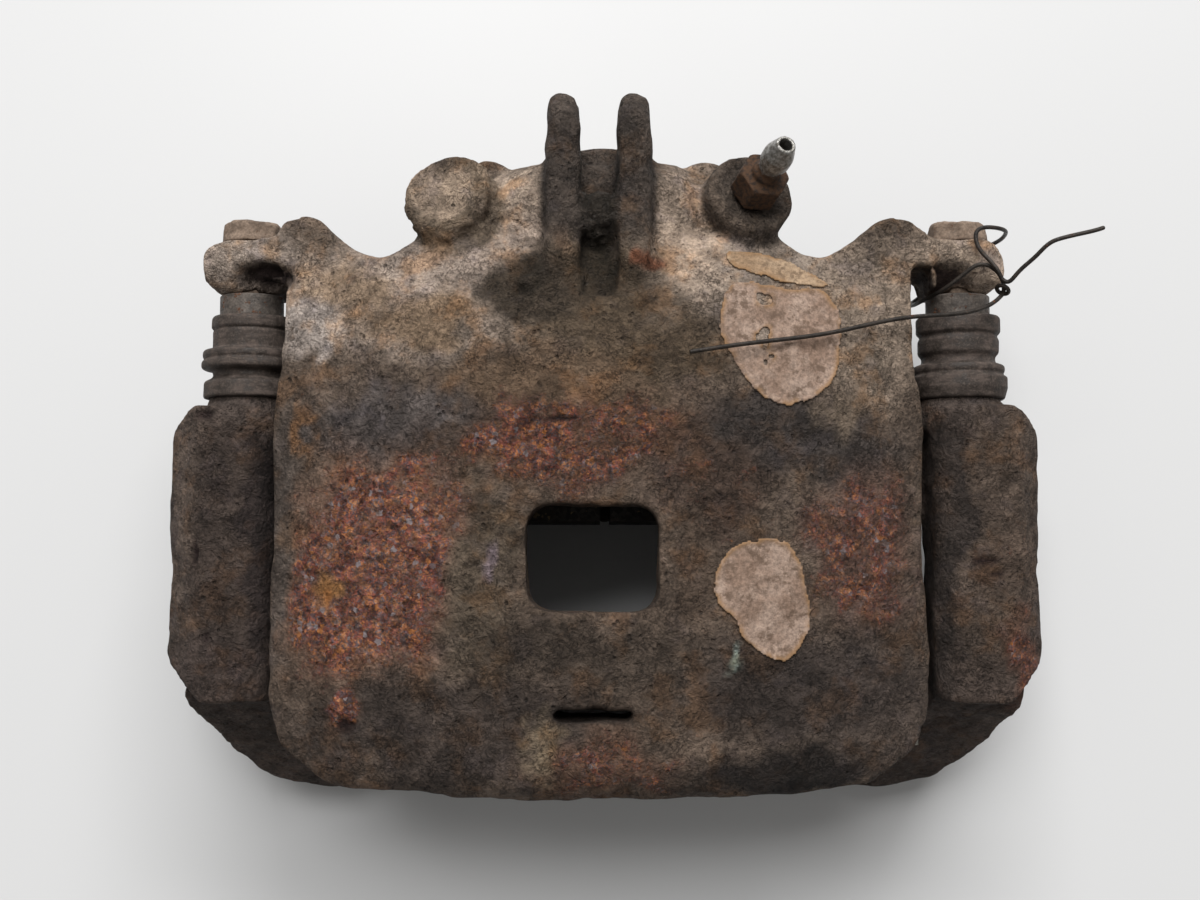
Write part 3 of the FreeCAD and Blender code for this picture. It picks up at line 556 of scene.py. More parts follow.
# ---- the two castings -----------------------------------------------------------------------------
# Each zone: centre x, y and radii in mm, colour, how rusty (0 to 1). Later ones lie on top.
HOUSING_ZONES = [
    ((0, 30), (85, 24), (0.150, 0.115, 0.088), 0.10),
    ((-45, 27), (32, 15), (0.262, 0.208, 0.170), 0.05),
    ((-61, 27), (9, 9), (0.245, 0.175, 0.120), 0.15),
    ((-42, 20), (16, 6), (0.210, 0.146, 0.096), 0.15),
    ((-28, 39), (13, 11), (0.300, 0.235, 0.190), 0.0),
    ((-38, 48), (12, 11), (0.250, 0.188, 0.138), 0.05),
    ((26, 34), (13, 14), (0.330, 0.250, 0.190), 0.10),
    ((-23, 52), (10, 10), (0.310, 0.240, 0.185), 0.0),
    ((19, 50), (9, 10), (0.280, 0.215, 0.165), 0.0),
    ((40, 26), (18, 16), (0.230, 0.184, 0.148), 0.0),
    ((62, 18), (13, 17), (0.185, 0.142, 0.108), 0.05),
    ((-88, 34), (18, 14), (0.285, 0.230, 0.190), 0.05),
    ((88, 34), (18, 14), (0.310, 0.240, 0.185), 0.05),
    ((-3, 24), (17, 16), (0.070, 0.050, 0.033), 0.05),
    ((-17, 26), (11, 10), (0.046, 0.034, 0.024), 0.05),
    ((8, 11), (20, 8), (0.074, 0.052, 0.034), 0.10),
    ((-16, 3), (26, 8), (0.110, 0.072, 0.046), 0.35),
    ((-14, -10), (22, 12), (0.084, 0.048, 0.032), 0.85),
    ((9, -5), (16, 10), (0.078, 0.046, 0.030), 0.75),
    ((-50, -5), (21, 9), (0.080, 0.066, 0.060), 0.05),
    ((44, -8), (28, 10), (0.040, 0.032, 0.028), 0.10),
    ((24, -18), (14, 9), (0.060, 0.040, 0.030), 0.45),
    ((-53, -37), (23, 27), (0.172, 0.098, 0.066), 0.95),
    ((-25, -42), (9, 26), (0.080, 0.060, 0.043), 0.08),
    ((-75, -30), (4, 34), (0.082, 0.064, 0.053), 0.10),
    ((20, -38), (7, 16), (0.072, 0.050, 0.036), 0.25),
    ((58, -32), (13, 20), (0.095, 0.056, 0.042), 0.75),
    ((0, -58), (22, 9), (0.050, 0.037, 0.028), 0.15),
    ((48, -64), (30, 13), (0.041, 0.031, 0.026), 0.08),
    ((-36, -74), (38, 12), (0.044, 0.033, 0.027), 0.20),
    ((0, -80), (18, 6), (0.080, 0.048, 0.033), 0.70),
    # Darker along the bottom edge: painted shade.
    ((46, -82), (30, 6), (0.018, 0.014, 0.012), 0.05),
    ((-56, -70), (6, 5), (0.075, 0.045, 0.030), 0.95),
    ((-1.5, 62), (10, 18), (0.054, 0.042, 0.034), 0.10),
    ((12, 30), (3, 3.4), (0.150, 0.062, 0.034), 0.45),
    ((-23, -35), (1.6, 3.4), (0.170, 0.130, 0.138), 0.0),
    ((-61, -42), (4, 4), (0.240, 0.115, 0.042), 0.3),
    ((-16, -76), (4, 5), (0.130, 0.098, 0.066), 0.0),
    ((-69, -5), (2, 6), (0.170, 0.090, 0.045), 0.4),
    ((-66, 19), (8, 6), (0.290, 0.245, 0.215), 0.0),
    ((55, 0), (6, 5), (0.120, 0.090, 0.066), 0.1),
    ((-10, 40), (4, 8), (0.110, 0.070, 0.045), 0.20),
    ((31, -58), (0.7, 3.0), (0.200, 0.250, 0.230), 0.0),
    ((66, -78), (14, 9), (0.055, 0.041, 0.033), 0.1),
]
CARRIER_ZONES = [
    ((-91, -30), (16, 40), (0.052, 0.038, 0.031), 0.12),
    ((-99, -25), (5, 30), (0.084, 0.062, 0.049), 0.12),
    # Painted shade on the slope beside the housing.
    ((-80, -35), (4, 36), (0.026, 0.019, 0.017), 0.05),
    ((-88, -60), (14, 8), (0.052, 0.038, 0.032), 0.10),
    ((91, -25), (14, 36), (0.076, 0.055, 0.042), 0.20),
    # Painted shade on the slope beside the housing.
    ((80, -35), (4, 40), (0.034, 0.026, 0.022), 0.10),
    ((98, -60), (6, 12), (0.105, 0.052, 0.036), 0.75),
    ((94, -35), (9, 9), (0.080, 0.056, 0.042), 0.30),
    ((-86, 2), (12, 5), (0.066, 0.050, 0.042), 0.10),
    ((86, 2), (12, 5), (0.066, 0.050, 0.042), 0.10),
]

# Each filler: centre and radii in mm. One in each ear's corner and one between the hose fins.
HOUSING_FILLERS = [
    ((-77.5, 38.0, 43.4), (6.0, 2.6, 3.6)),
    ((77.5, 38.0, 43.4), (6.0, 2.6, 3.6)),
    ((-1.5, 44.0, 55.0), (4.8, 6.0, 6.5)),
]

# Each mark: centre x, y and radii in mm, depth in mm, how dark (0 to 1). The darkening of the two in
# front of the ears is painted shadow.
HOUSING_SCARS_AND_SHADOWS = [
    ((-57.8, -71.6), (2.6, 2.0), 1.1, 0.8),
    ((-17.0, -4.4), (3.4, 0.7), 0.7, 0.9),
    ((-9.8, -3.8), (4.2, 0.7), 0.7, 0.9),
    ((-20.0, -6.4), (0.9, 2.0), 0.5, 0.7),
    # Painted shadow in front of both ears, over a sunk hollow.
    ((-80.2, 31.2), (7.5, 3.6), 2.6, 0.95),
    ((80.2, 31.2), (7.5, 3.6), 0.9, 0.95),
    ((-40.0, 12.0), (1.6, 1.0), 0.5, 0.5),
    ((-47.0, 8.0), (1.2, 0.9), 0.5, 0.5),
    ((44.0, -26.0), (2.6, 0.6), 0.5, 0.6),
]
CARRIER_SCARS = [
    ((-94.0, -1.0), (2.2, 1.6), 0.8, 0.8),
    ((-95.6, -33.0), (0.9, 3.2), 0.9, 0.9),
    ((-92.6, -53.0), (0.7, 1.6), 0.6, 0.8),
    ((88.6, -35.0), (3.6, 1.3), 0.9, 0.85),
    ((91.5, -38.5), (2.0, 0.9), 0.7, 0.8),
    ((97.0, -55.0), (1.4, 0.7), 0.5, 0.6),
]


def blend_in(tone, share, colour):
    """Moves the rows of tone towards the colour by their share, in place."""
    tone += share[:, None] * (np.array(colour) - tone)


def paint_zones(obj, ground, ground_rust, zones, under, seed):
    """Stores the tone and rust attributes from soft-edged zones seen from above, and painted
    shade with more rust on the underside."""
    mesh = obj.data
    points = points_of(mesh) / MM
    normals = normals_of(mesh)

    def warp(start):
        broad = 4.5 * layered_noise(points, 13.0, 3, start)
        return broad + 1.4 * layered_noise(points, 2.6, 2, start + 3)

    x = points[:, 0] + warp(seed)
    y = points[:, 1] + warp(seed + 5)
    tone = np.tile(np.array(ground), (len(points), 1))
    rust = np.full(len(points), ground_rust)
    for (cx, cy), (rx, ry), colour, rusty in zones:
        far = np.sqrt(((x - cx) / rx) ** 2 + ((y - cy) / ry) ** 2)
        share = ease(1.3, 0.55, far)
        blend_in(tone, share, colour)
        rust += share * (rusty - rust)
    # Faces turned down, and partly those turned sideways, take the under colour as painted shade, and
    # more rust.
    down = ease(0.25, -0.35, normals[:, 2] + 0.15 * layered_noise(points, 9.0, 2, seed + 11))
    blend_in(tone, down, under)
    rust += down * (0.4 - rust)
    store(mesh, "tone", tone)
    store(mesh, "rust", np.clip(rust, 0.0, 1.0))
    return rust


def roughen(obj, rust, seed, calm):
    """Moves the surface in and out: broad casting lumps, sandy grain, and scale where it is
    rusty. Where calm(points) is 1, the surface keeps its place."""
    mesh = obj.data
    points = points_of(mesh)
    normals = normals_of(mesh)
    lumps = 0.46 * MM * layered_noise(points, 14 * MM, 3, seed)
    grain = 0.27 * MM * layered_noise(points, 4.2 * MM, 2, seed + 21)
    cell = layered_noise(points, 2.4 * MM, 2, seed + 41)
    scale = 0.30 * MM * np.abs(cell) * ease(0.3, 0.9, rust)
    move = (lumps + grain + scale - 0.12 * MM - SWELL) * (1.0 - calm(points))
    set_points(mesh, points + normals * move[:, None])


def scar_and_shadow(obj, places, seed):
    """Sinks and darkens the ragged marks listed in places, as seen from above; the darkening of some is
    painted shadow.
    """
    mesh = obj.data
    points = points_of(mesh)
    normals = normals_of(mesh)
    x, y, _ = (points / MM).T
    x = x + 0.5 * layered_noise(points, 2.2 * MM, 2, seed)
    y = y + 0.5 * layered_noise(points, 2.2 * MM, 2, seed + 4)
    facing = ease(-0.2, 0.3, normals[:, 2])
    dark = np.zeros(len(points))
    sink = np.zeros(len(points))
    for (cx, cy), (rx, ry), depth, how_dark in places:
        share = ease(1.25, 0.55, np.hypot((x - cx) / rx, (y - cy) / ry)) * facing
        sink = np.maximum(sink, depth * MM * share)
        dark = np.maximum(dark, how_dark * share)
    set_points(mesh, points - normals * sink[:, None])
    store(mesh, "scar_and_shadow", dark)


def craters(obj, seed, count, size, depth, where):
    """Sinks irregular pits into the surface at repeatable random places that where(points,
    normals) allows."""
    mesh = obj.data
    points = points_of(mesh)
    normals = normals_of(mesh)
    draw = np.random.default_rng(seed)
    allowed = np.nonzero(where(points, normals))[0]
    for index in draw.choice(allowed, size=min(count, len(allowed)), replace=False):
        radius = size * draw.uniform(0.5, 1.3)
        offset = points - points[index]
        near = np.nonzero(np.einsum("ij,ij->i", offset, offset) < (radius * 1.6) ** 2)[0]
        ragged = np.linalg.norm(offset[near], axis=1) / radius
        ragged += 0.35 * smooth_noise(points[near], radius * 0.7, seed)
        sink = depth * draw.uniform(0.6, 1.2) * ease(1.0, 0.35, ragged)
        points[near] -= normals[near] * sink[:, None]
    set_points(mesh, points)


def bore_share(points):
    """1 inside the cylinder bore and the boot hollows, which stay smooth, 0 elsewhere."""
    y = points[:, 1]
    bore = ease(36 * MM, 34.6 * MM, from_line(points, BODY_X, PISTON_Z))
    bore = bore * ease(47 * MM, 46 * MM, y) * ease(-12 * MM, -9 * MM, y)
    for side in (-1, 1):
        hollow = ease(13.4 * MM, 12.6 * MM, from_line(points, side * PIN_X, PIN_Z))
        bore = np.maximum(bore, hollow * ease(30 * MM, 28 * MM, y))
    return bore


def cake_dirt(obj):
    """Dirt caked between and beside the hose fins and under the left boss, as a swelling of the
    surface."""
    mesh = obj.data
    points = points_of(mesh)
    normals = normals_of(mesh)
    x, y, z = (points / MM).T
    between = ease(4.6, 3.2, np.abs(x - BODY_X_MM)) * ease(24, 30, y) * ease(59, 55, y)
    beside = ease(1.2, 0.5, np.hypot((x + 17.5) / 5.0, (y - 30) / 6.0))
    boss = crescent(x, y)
    ragged = np.abs(layered_noise(points, 3.0 * MM, 3, 88))
    share = np.maximum(np.maximum(between, beside), 0.8 * boss)
    share = share * ease(48, 52, z) * ease(0.0, 0.4, normals[:, 2])
    set_points(mesh, points + normals * (share * (0.25 + 1.5 * ragged) * MM)[:, None])


def crescent(x, y):
    """1 on the lower rim of the left boss's face, where dirt is caked and shade is painted, 0
    elsewhere, with x and y in mm.
    """
    from_boss = np.hypot(x + 35.0, y - 46.5)
    return ease(12.6, 11.0, from_boss) * ease(6.5, 8.5, np.hypot(x + 38.0, y - 50.5))


def paint_raised_parts(mesh, x, y, z):
    """Darkens the hose fins and the right boss, and paints shade on the left boss's lower rim, with x,
    y and z in mm.
    """
    layer = mesh.attributes["tone"]
    tone = np.empty(len(x) * 4, dtype=np.float32)
    layer.data.foreach_get("color", tone)
    tone = tone.reshape(-1, 4)
    fin = ease(14.2, 12.6, np.abs(x - BODY_X_MM)) * ease(33, 42, y) * ease(50, 54, z)
    blend_in(tone[:, :3], fin, (0.052, 0.041, 0.034))
    boss = ease(12.5, 11.0, np.hypot(x - 34.3, y - 48.5))
    blend_in(tone[:, :3], 0.85 * boss, (0.044, 0.034, 0.027))
    # Painted shade on the lower rim of the left boss.
    boss_rim_shade = crescent(x, y) * ease(48, 52, z)
    blend_in(tone[:, :3], 0.75 * boss_rim_shade, (0.085, 0.064, 0.044))
    layer.data.foreach_set("color", tone.ravel())


def grease_share(points):
    """How greasy the housing is between and beside the hose fins, with the points in mm."""
    x, y, z = points.T
    between = ease(4.9, 3.6, np.abs(x - BODY_X_MM)) * ease(20, 28, y) * ease(60, 54, y)
    beside = ease(1.25, 0.6, np.hypot((x + 17) / 4.2, (y - 29) / 5.5))
    grease = np.maximum(between, 0.75 * beside) * ease(50, 54, z)
    grease *= 0.75 + 0.25 * layered_noise(points, 3.0, 2, 77)
    return np.clip(grease, 0, 1)


def finger_side(points, normals):
    """The upward faces of the housing on the fingers' side of its bosses."""
    return (normals[:, 2] > 0.3) & (points[:, 1] < 20 * MM)


def housing():
    """The sliding housing, with its hose fins, as one rusty casting."""
    obj = one_casting("Caliper_casting", HOUSING_NODES, HOUSING_FILLERS)
    remeshed(obj, CASTING_VOXEL, smoothing=5)
    # The under colour is painted shade on the downward faces.
    rust = paint_zones(obj, ground=(0.088, 0.064, 0.048), ground_rust=0.3, zones=HOUSING_ZONES,
                       under=(0.045, 0.033, 0.027), seed=3)
    points = points_of(obj.data) / MM
    paint_raised_parts(obj.data, *points.T)
    store(obj.data, "grease", grease_share(points))
    roughen(obj, rust, 5, bore_share)
    cake_dirt(obj)
    scar_and_shadow(obj, HOUSING_SCARS_AND_SHADOWS, 14)
    craters(obj, seed=11, count=260, size=1.4 * MM, depth=0.45 * MM, where=finger_side)
    craters(obj, seed=12, count=16, size=3.4 * MM, depth=0.5 * MM, where=finger_side)
    store_curvature(obj)
    dress(obj, casting_paint("rusty cast iron housing", 1.30))
    finish_piece(obj, "caliper", "rusty_casting", *HOUSING_NODES)
    return obj


def carrier_calm(points):
    """1 in the bracket's bores and on the necks that hold the boots, which stay smooth."""
    from_knuckle = np.minimum(from_line(points, KNUCKLE_X, 0.0), from_line(points, -KNUCKLE_X, 0.0))
    calm = ease(8 * MM, 6.5 * MM, from_knuckle)
    from_pin = np.minimum(from_line(points, PIN_X, PIN_Z), from_line(points, -PIN_X, PIN_Z))
    calm = np.maximum(calm, ease(6.2 * MM, 5.6 * MM, from_pin))
    neck = ease(10.6 * MM, 10.0 * MM, from_pin) * ease(1.6 * MM, 2.4 * MM, points[:, 1])
    return np.maximum(calm, neck)


def leg_fronts(points, normals):
    """The upward faces of the bracket's two legs."""
    x, y, z = points.T
    return (np.abs(x) > 82 * MM) & (y < -6 * MM) & (z > 12 * MM) & (normals[:, 2] > 0.0)


def bracket():
    """The fixed carrier bracket as one rusty casting."""
    obj = one_casting("Carrier_casting", CARRIER_NODES)
    remeshed(obj, CASTING_VOXEL, smoothing=3)
    # The under colour is painted shade on the downward faces.
    rust = paint_zones(obj, ground=(0.052, 0.038, 0.031), ground_rust=0.2, zones=CARRIER_ZONES,
                       under=(0.030, 0.022, 0.018), seed=31)
    store(obj.data, "grease", np.zeros(len(obj.data.vertices)))
    roughen(obj, rust, 51, carrier_calm)
    scar_and_shadow(obj, CARRIER_SCARS, 54)
    craters(obj, seed=52, count=60, size=1.7 * MM, depth=0.45 * MM, where=leg_fronts)
    craters(obj, seed=53, count=9, size=3.6 * MM, depth=0.9 * MM, where=leg_fronts)
    store_curvature(obj)
    dress(obj, casting_paint("rusty cast iron carrier", 1.28))
    finish_piece(obj, "carrier", "bracket_casting", *CARRIER_NODES)


# ---- small parts ---------------------------------------------------------------------------------
def small_steel(node, name, body, slot, material, voxel, smoothing, wobble, seed):
    """A remeshed, slightly eaten-away copy of a small steel part."""
    obj = copy_of(node, name)
    remeshed(obj, voxel, smoothing)
    mesh = obj.data
    points = points_of(mesh)
    normals = normals_of(mesh)
    move = wobble * (layered_noise(points, 3.5 * MM, 3, seed) - 0.4)
    set_points(mesh, points + normals * move[:, None])
    dress(obj, material)
    finish_piece(obj, body, slot, node)


def bleeder_paint():
    """Rusty hexagon and stem below, bare bright nipple above, along the screw's axis."""
    p = Paint("bleed screw steel", specular=0.4)
    along = p.node("ShaderNodeVectorMath")
    along.operation = "DOT_PRODUCT"
    p.link(p.place, along.inputs[0])
    along.inputs[1].default_value = BLEED_AXIS
    base = BLEED_FACE.dot(BLEED_AXIS)
    height = p.math("DIVIDE", p.minus(along.outputs["Value"], base), BLEED_HEIGHT)
    wavy = p.plus(height, p.times(p.minus(p.noise(2 * MM, 4, 0.7), 0.5), 0.3))
    bare = p.fit(wavy, 0.5, 0.62)
    rust = p.ramp(p.noise(1.1 * MM, 5, 0.72, 0.4), [
        (0.28, (0.010, 0.007, 0.005)), (0.45, (0.030, 0.016, 0.009)),
        (0.57, (0.075, 0.035, 0.015)), (0.72, (0.034, 0.021, 0.014)),
    ])
    metal = p.ramp(p.noise(0.9 * MM, 4, 0.7, 1.2), [
        (0.3, (0.10, 0.088, 0.072)), (0.5, (0.27, 0.26, 0.24)), (0.7, (0.50, 0.49, 0.47)),
    ])
    colour = p.mix(bare, rust, metal)
    roughness = p.fit(bare, 0.0, 1.0, 0.85, 0.34)
    normal = p.bump(p.noise(0.6 * MM, 4, 0.7, 2.0), 0.22 * MM)
    return p.done(colour, roughness, normal, p.times(bare, 0.85))


def boots_and_bolts():
    """The two guide pins' boots and their bolts."""
    rubber = rubber_paint("dusty boot rubber", (0.030, 0.023, 0.019), (0.082, 0.062, 0.052))
    bolt = rusty_steel_paint("weathered bolt steel", (0.12, 0.085, 0.062), (0.21, 0.152, 0.112),
                             rust_share=0.2, metallic=0.0, grain=0.6 * MM, dull=0.85)
    for side, word in ((-1, "left"), (1, "right")):
        boot = copy_of("pin_boot_" + word, "Pin_boot_" + word)
        remeshed(boot, PIN_BOOT_VOXEL, smoothing=1)
        mesh = boot.data
        points = points_of(mesh)
        sag = 0.16 * MM * layered_noise(points, 7 * MM, 2, 90 + side)
        outer = ease(8.0 * MM, 8.8 * MM, from_line(points, side * PIN_X, PIN_Z))
        set_points(mesh, points + normals_of(mesh) * (sag * outer)[:, None])
        dress(boot, rubber)
        shade_smooth(boot)
        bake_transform(boot)
        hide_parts("pin_boot_" + word)
        small_steel("pin_bolt_" + word, "Pin_bolt_" + word, "caliper", "bolt_steel", bolt,
                    voxel=SMALL_VOXEL, smoothing=14, wobble=0.42 * MM, seed=5 + side)


def piston_boot():
    """The piston's dust boot, its fold drawn in towards the groove so that it clears the bracket
    when the piston is out."""
    boot = copy_of("piston_dust_boot", "Piston_boot")
    remeshed(boot, PISTON_BOOT_VOXEL, smoothing=0)
    points = points_of(boot.data)
    axis = np.array((BODY_X, PISTON_Z))
    outward = points[:, (0, 2)] - axis
    radius = np.linalg.norm(outward, axis=1)
    groove = PISTON_GROOVE_RADIUS
    shrink = 1.0 - 0.38 * ease(-6.8 * MM, -8.8 * MM, points[:, 1])
    kept = np.where(radius > groove, groove + (radius - groove) * shrink, radius)
    points[:, (0, 2)] = axis + outward * (kept / radius)[:, None]
    set_points(boot.data, points)
    dress(boot, rubber_paint("piston boot rubber", (0.018, 0.015, 0.013), (0.060, 0.048, 0.040)))
    shade_smooth(boot)
    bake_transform(boot)
    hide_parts("piston_dust_boot")


def bleeder():
    """The bleed screw on its boss."""
    small_steel("bleed_screw", "Bleed_screw", "bleeder", "bleed_steel", bleeder_paint(),
                voxel=BLEEDER_VOXEL, smoothing=2, wobble=0.07 * MM, seed=70)


# ---- dried residue on the housing ------------------------------------------------------------------
# Outlines of the three dried patches, seen from above, in mm.
PATCH_LARGE = [(26.6, 27), (32, 28.6), (42, 26.6), (50, 27.2), (53.6, 24), (54.4, 16), (52.6, 7),
               (48.5, 1), (41.7, -1.5), (36, 0), (31.6, 4.4), (27.8, 11.3), (25, 18)]
PATCH_STRIP = [(27.4, 36.2), (35.6, 36), (44.7, 33.4), (52, 28.6), (51, 26.8), (45.5, 27.6),
               (39.5, 29), (32.5, 30.8), (28.2, 32.6)]
PATCH_LOWER = [(34.4, -29.4), (40, -30.6), (43.3, -34), (45.4, -41.6), (45.8, -49.3),
               (43.8, -54.8), (39.8, -57.5), (34.2, -56), (29.8, -52.7), (28, -47), (24.3, -45),
               (23.5, -38.3), (26.6, -32.3)]
PATCH_STEP = 0.4            # grid step of a patch, in mm
PATCH_MARGIN = 2            # grid beyond the outline, in mm
PATCH_HOLE = 1.05           # noise above this leaves a hole
FILM_THICK = 0.34 * MM
FILM_GAP = 0.10 * MM        # least height of a film over the casting
RAY_START_Z = 0.09          # above the whole housing, in metres


def inside(px, py, outline):
    """Which points lie inside a closed outline, all in mm."""
    hit = np.zeros(len(px), dtype=bool)
    for (ax, ay), (bx, by) in zip(outline, outline[1:] + outline[:1]):
        crosses = (ay > py) != (by > py)
        with np.errstate(divide="ignore", invalid="ignore"):
            at = ax + (py - ay) * (bx - ax) / (by - ay if by != ay else 1e-9)
        hit ^= crosses & (px < at)
    return hit


def rounded(outline, rounds):
    """The outline with its corners cut again and again, so that it becomes a smooth curve."""
    for _ in range(rounds):
        cut = []
        for (ax, ay), (bx, by) in zip(outline, outline[1:] + outline[:1]):
            cut.append((0.75 * ax + 0.25 * bx, 0.75 * ay + 0.25 * by))
            cut.append((0.25 * ax + 0.75 * bx, 0.25 * ay + 0.75 * by))
        outline = cut
    return outline


def residue(name, outline, surface, material, seed):
    """A thin dried film lying on the housing, with a ragged edge that lifts a little."""
    outline = rounded(outline, 3)
    xs = [p[0] for p in outline]
    ys = [p[1] for p in outline]
    nx = int((max(xs) - min(xs) + 2 * PATCH_MARGIN) / PATCH_STEP)
    ny = int((max(ys) - min(ys) + 2 * PATCH_MARGIN) / PATCH_STEP)
    gx = min(xs) - PATCH_MARGIN + PATCH_STEP * np.arange(nx)
    gy = min(ys) - PATCH_MARGIN + PATCH_STEP * np.arange(ny)
    px, py = [a.ravel() for a in np.meshgrid(gx, gy, indexing="ij")]
    flat = np.stack([px, py, np.zeros(len(px))], axis=1)
    wx = px + 0.6 * layered_noise(flat, 8.0, 2, seed)
    wx = wx + 0.25 * layered_noise(flat, 1.6, 2, seed + 3)
    wy = py + 0.6 * layered_noise(flat, 8.0, 2, seed + 9)
    wy = wy + 0.25 * layered_noise(flat, 1.6, 2, seed + 12)
    keep = inside(wx, wy, outline)
    keep &= ~(layered_noise(flat, 6.0, 3, seed + 20) > PATCH_HOLE)
    lift = 0.5 + 0.5 * layered_noise(flat, 3.0, 2, seed + 30)
    builder = bmesh.new()
    verts = {}
    for k in np.nonzero(keep)[0]:
        start = Vector((px[k] * MM, py[k] * MM, RAY_START_Z))
        hit, normal, _, _ = surface.ray_cast(start, Vector((0, 0, -1)))
        if hit is None:
            continue
        height = FILM_GAP + FILM_THICK * 0.5 * max(0.0, lift[k])
        verts[k] = builder.verts.new(hit + normal * height)
    for i in range(nx - 1):
        for j in range(ny - 1):
            here, beyond = i * ny + j, (i + 1) * ny + j
            corners = [here, beyond, beyond + 1, here + 1]
            if all(c in verts for c in corners):
                builder.faces.new([verts[c] for c in corners])
    loose = [v for v in builder.verts if not v.link_faces]
    bmesh.ops.delete(builder, geom=loose, context="VERTS")
    on_rim = np.array([float(vert.is_boundary) for vert in builder.verts])
    mesh = bpy.data.meshes.new(name)
    builder.to_mesh(mesh)
    builder.free()
    rim = np.clip(2.6 * neighbour_mean(mesh, on_rim, rounds=4), 0.0, 1.0)
    store(mesh, "rim", rim)
    points = points_of(mesh)
    points[:, 2] += 0.30 * MM * rim
    set_points(mesh, points)
    obj = add_object(name, mesh)
    smooth = obj.modifiers.new("soften", "SMOOTH")
    smooth.iterations = 2
    solid = obj.modifiers.new("thickness", "SOLIDIFY")
    solid.thickness = FILM_THICK
    solid.offset = -1.0
    settle(obj)
    obj.data.materials.append(material)
    finish_piece(obj, "caliper", "rusty_casting")


def residue_paint(name, pale, brown, shade):
    """A matt dried film with darker stains, browner along its rim."""
    p = Paint(name, specular=0.2)
    wide = p.fit(p.noise(9 * MM, 4, 0.65), 0.35, 0.65)
    colour = p.mix(wide, brown, pale)
    grain = p.fit(p.noise(0.9 * MM, 5, 0.75, 0.5), 0.3, 0.7, 0.62, 1.3)
    colour = p.mix(1.0, colour, p.grey(grain), "MULTIPLY")
    stain = p.fit(p.noise(3.4 * MM, 5, 0.75, 1.4), 0.50, 0.62, 0.0, 0.85)
    colour = p.mix(stain, colour, shade)
    rim = p.times(p.attribute("rim"), p.fit(p.noise(5 * MM, 3, 0.6, 6.1), 0.38, 0.56))
    colour = p.mix(p.times(rim, 0.85), colour, (0.27, 0.155, 0.075))
    normal = p.bump(p.noise(1.3 * MM, 5, 0.7, 2.2), 0.4 * MM)
    return p.done(colour, p.fit(p.noise(2 * MM, 3), 0.3, 0.7, 0.75, 0.95), normal)


def residues(housing_obj):
    """The three dried patches on the housing."""
    surface = BVHTree.FromPolygons([v.co.copy() for v in housing_obj.data.vertices],
                                   [tuple(f.vertices) for f in housing_obj.data.polygons])
    tan = residue_paint("dried tan residue", pale=(0.34, 0.25, 0.197),
                        brown=(0.22, 0.147, 0.108), shade=(0.12, 0.079, 0.056))
    straw = residue_paint("dried straw residue", pale=(0.37, 0.265, 0.175),
                          brown=(0.27, 0.18, 0.11), shade=(0.15, 0.10, 0.065))
    residue("Residue_large", PATCH_LARGE, surface, tan, 101)
    residue("Residue_strip", PATCH_STRIP, surface, straw, 131)
    residue("Residue_lower", PATCH_LOWER, surface, tan, 161)


# ---- materials for the CAD nodes that stay as they are -----------------------------------------------
# Each steel: material name, dark and light ground, share of rust, metallic, grain in mm, dullness
# (the roughness where there is no rust), and the nodes made of it.
STEELS = [
    ("guide pin steel", (0.050, 0.042, 0.036), (0.115, 0.095, 0.080), 0.3, 0.2, 0.5, 0.6,
     ("guide_pin_left", "guide_pin_right")),
    ("piston steel", (0.24, 0.235, 0.225), (0.42, 0.41, 0.40), 0.12, 0.9, 0.4, 0.32,
     ("piston",)),
    ("spring clip steel", (0.14, 0.13, 0.11), (0.30, 0.28, 0.25), 0.15, 0.5, 0.5, 0.45,
     ("dust_boot_ring", "inner_pad_spring", "pad_wear_indicator", "pad_clip_inner_left",
      "pad_clip_inner_right", "pad_clip_outer_left", "pad_clip_outer_right")),
    ("pad plate steel", (0.028, 0.022, 0.019), (0.060, 0.046, 0.038), 0.35, 0.2, 0.6, 0.65,
     ("inner_pad_plate", "outer_pad_plate")),
    ("shim steel", (0.07, 0.068, 0.065), (0.13, 0.125, 0.12), 0.2, 0.5, 0.6, 0.5,
     ("inner_pad_shim", "outer_pad_shim")),
    ("tie wire steel", (0.014, 0.011, 0.009), (0.036, 0.028, 0.022), 0.25, 0.3, 0.4, 0.5,
     ("tie_wire",)),
]


def lining_paint():
    """Friction lining: dark binder with chips, a few of them brassy."""
    p = Paint("friction lining", specular=0.2)
    chips = p.split(p.cells(0.8 * MM, 0.3 * MM), 0)
    ground = p.ramp(chips, [
        (0.0, (0.014, 0.013, 0.012)), (0.5, (0.026, 0.024, 0.022)),
        (0.82, (0.038, 0.034, 0.030)), (0.95, (0.12, 0.09, 0.05)),
    ], sharp=True)
    worn = p.fit(p.noise(5 * MM, 4, 0.7), 0.4, 0.65, 0.0, 0.6)
    ground = p.mix(worn, ground, (0.032, 0.023, 0.018))
    return p.done(ground, 0.88, p.bump(p.noise(0.7 * MM, 4, 0.7), 0.3 * MM))


def paint_nodes(nodes, material):
    """Gives CAD nodes that keep their own meshes this material."""
    for node in nodes:
        dress(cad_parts[node], material)


def carried_over():
    """Materials of the parts whose CAD meshes are shown as they are."""
    for name, dark, light, rust_share, metallic, grain, dull, nodes in STEELS:
        steel = rusty_steel_paint(name, dark, light, rust_share, metallic, grain * MM, dull)
        paint_nodes(nodes, steel)
    seal = rubber_paint("seal rubber", (0.012, 0.011, 0.010), (0.030, 0.026, 0.022))
    paint_nodes(("pin_sleeve_right", "piston_seal"), seal)
    paint_nodes(("inner_pad_lining", "outer_pad_lining"), lining_paint())


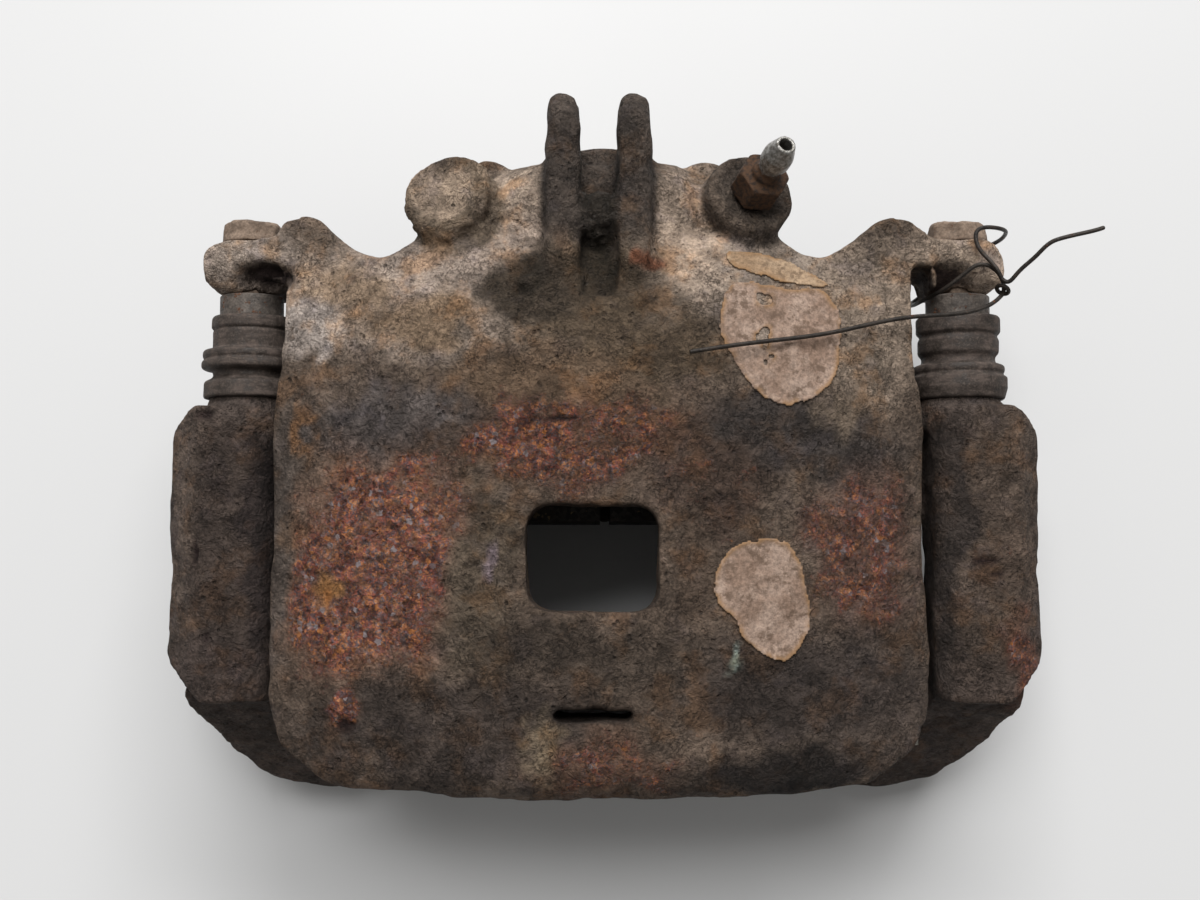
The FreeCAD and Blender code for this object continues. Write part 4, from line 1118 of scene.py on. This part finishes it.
# ---- floor, light and camera -----------------------------------------------------------------------
FLOOR_HALF = 2.5
FLOOR_GAP = 0.7 * MM        # room for the castings' rough undersides
CAMERA_EYE = Vector((-1.15, -33.86, 398.17)) * MM
CAMERA_TARGET = Vector((-1.15, -10.0, 57.0)) * MM


def floor():
    """A pale floor just under the bracket's lowest point."""
    builder = bmesh.new()
    bmesh.ops.create_grid(builder, x_segments=8, y_segments=8, size=FLOOR_HALF)
    mesh = bpy.data.meshes.new("floor")
    builder.to_mesh(mesh)
    builder.free()
    obj = add_object("Floor", mesh)
    obj.location.z = CARRIER_BOTTOM_Z - FLOOR_GAP
    p = Paint("pale floor", specular=0.45)
    roughness = p.fit(p.noise(0.3, 2), 0.3, 0.7, 0.42, 0.5)
    mesh.materials.append(p.done((0.625, 0.625, 0.625), roughness))


def aim(place, target):
    """The rotation that points a light or a camera at place towards the target."""
    return (target - place).to_track_quat("-Z", "Y").to_euler()


def area_light(name, place, target, size, power):
    """A rectangular light aimed at the target."""
    data = bpy.data.lights.new(name, "AREA")
    data.shape = "RECTANGLE"
    data.size = size[0]
    data.size_y = size[1]
    data.energy = power
    obj = add_object(name, data)
    obj.location = place
    obj.rotation_euler = aim(Vector(place), Vector(target))


def light_and_camera():
    """Soft light from beyond the top of the picture, and the photo's view from above."""
    world = bpy.data.worlds.new("soft studio")
    world.use_nodes = True
    background = world.node_tree.nodes["Background"]
    background.inputs["Color"].default_value = (1.0, 0.99, 0.97, 1.0)
    background.inputs["Strength"].default_value = 0.27
    bpy.context.scene.world = world
    area_light("Key", (0.3, 2.7, 2.3), target=(0, 0, 0.02), size=(2.6, 1.3), power=128.0)
    area_light("Overhead", (-0.3, 1.25, 3.0), target=(0, 0, 0), size=(1.6, 1.0), power=52.0)
    bpy.context.scene.view_settings.view_transform = "Standard"

    data = bpy.data.cameras.new("Camera")
    data.lens = 45.0
    data.sensor_width = 36.0
    data.clip_start = 0.01
    camera = add_object("Camera", data)
    camera.location = CAMERA_EYE
    camera.rotation_euler = aim(CAMERA_EYE, CAMERA_TARGET)
    bpy.context.scene.camera = camera


body_casting = housing()
bracket()
boots_and_bolts()
piston_boot()
bleeder()
residues(body_casting)
carried_over()
floor()
light_and_camera()
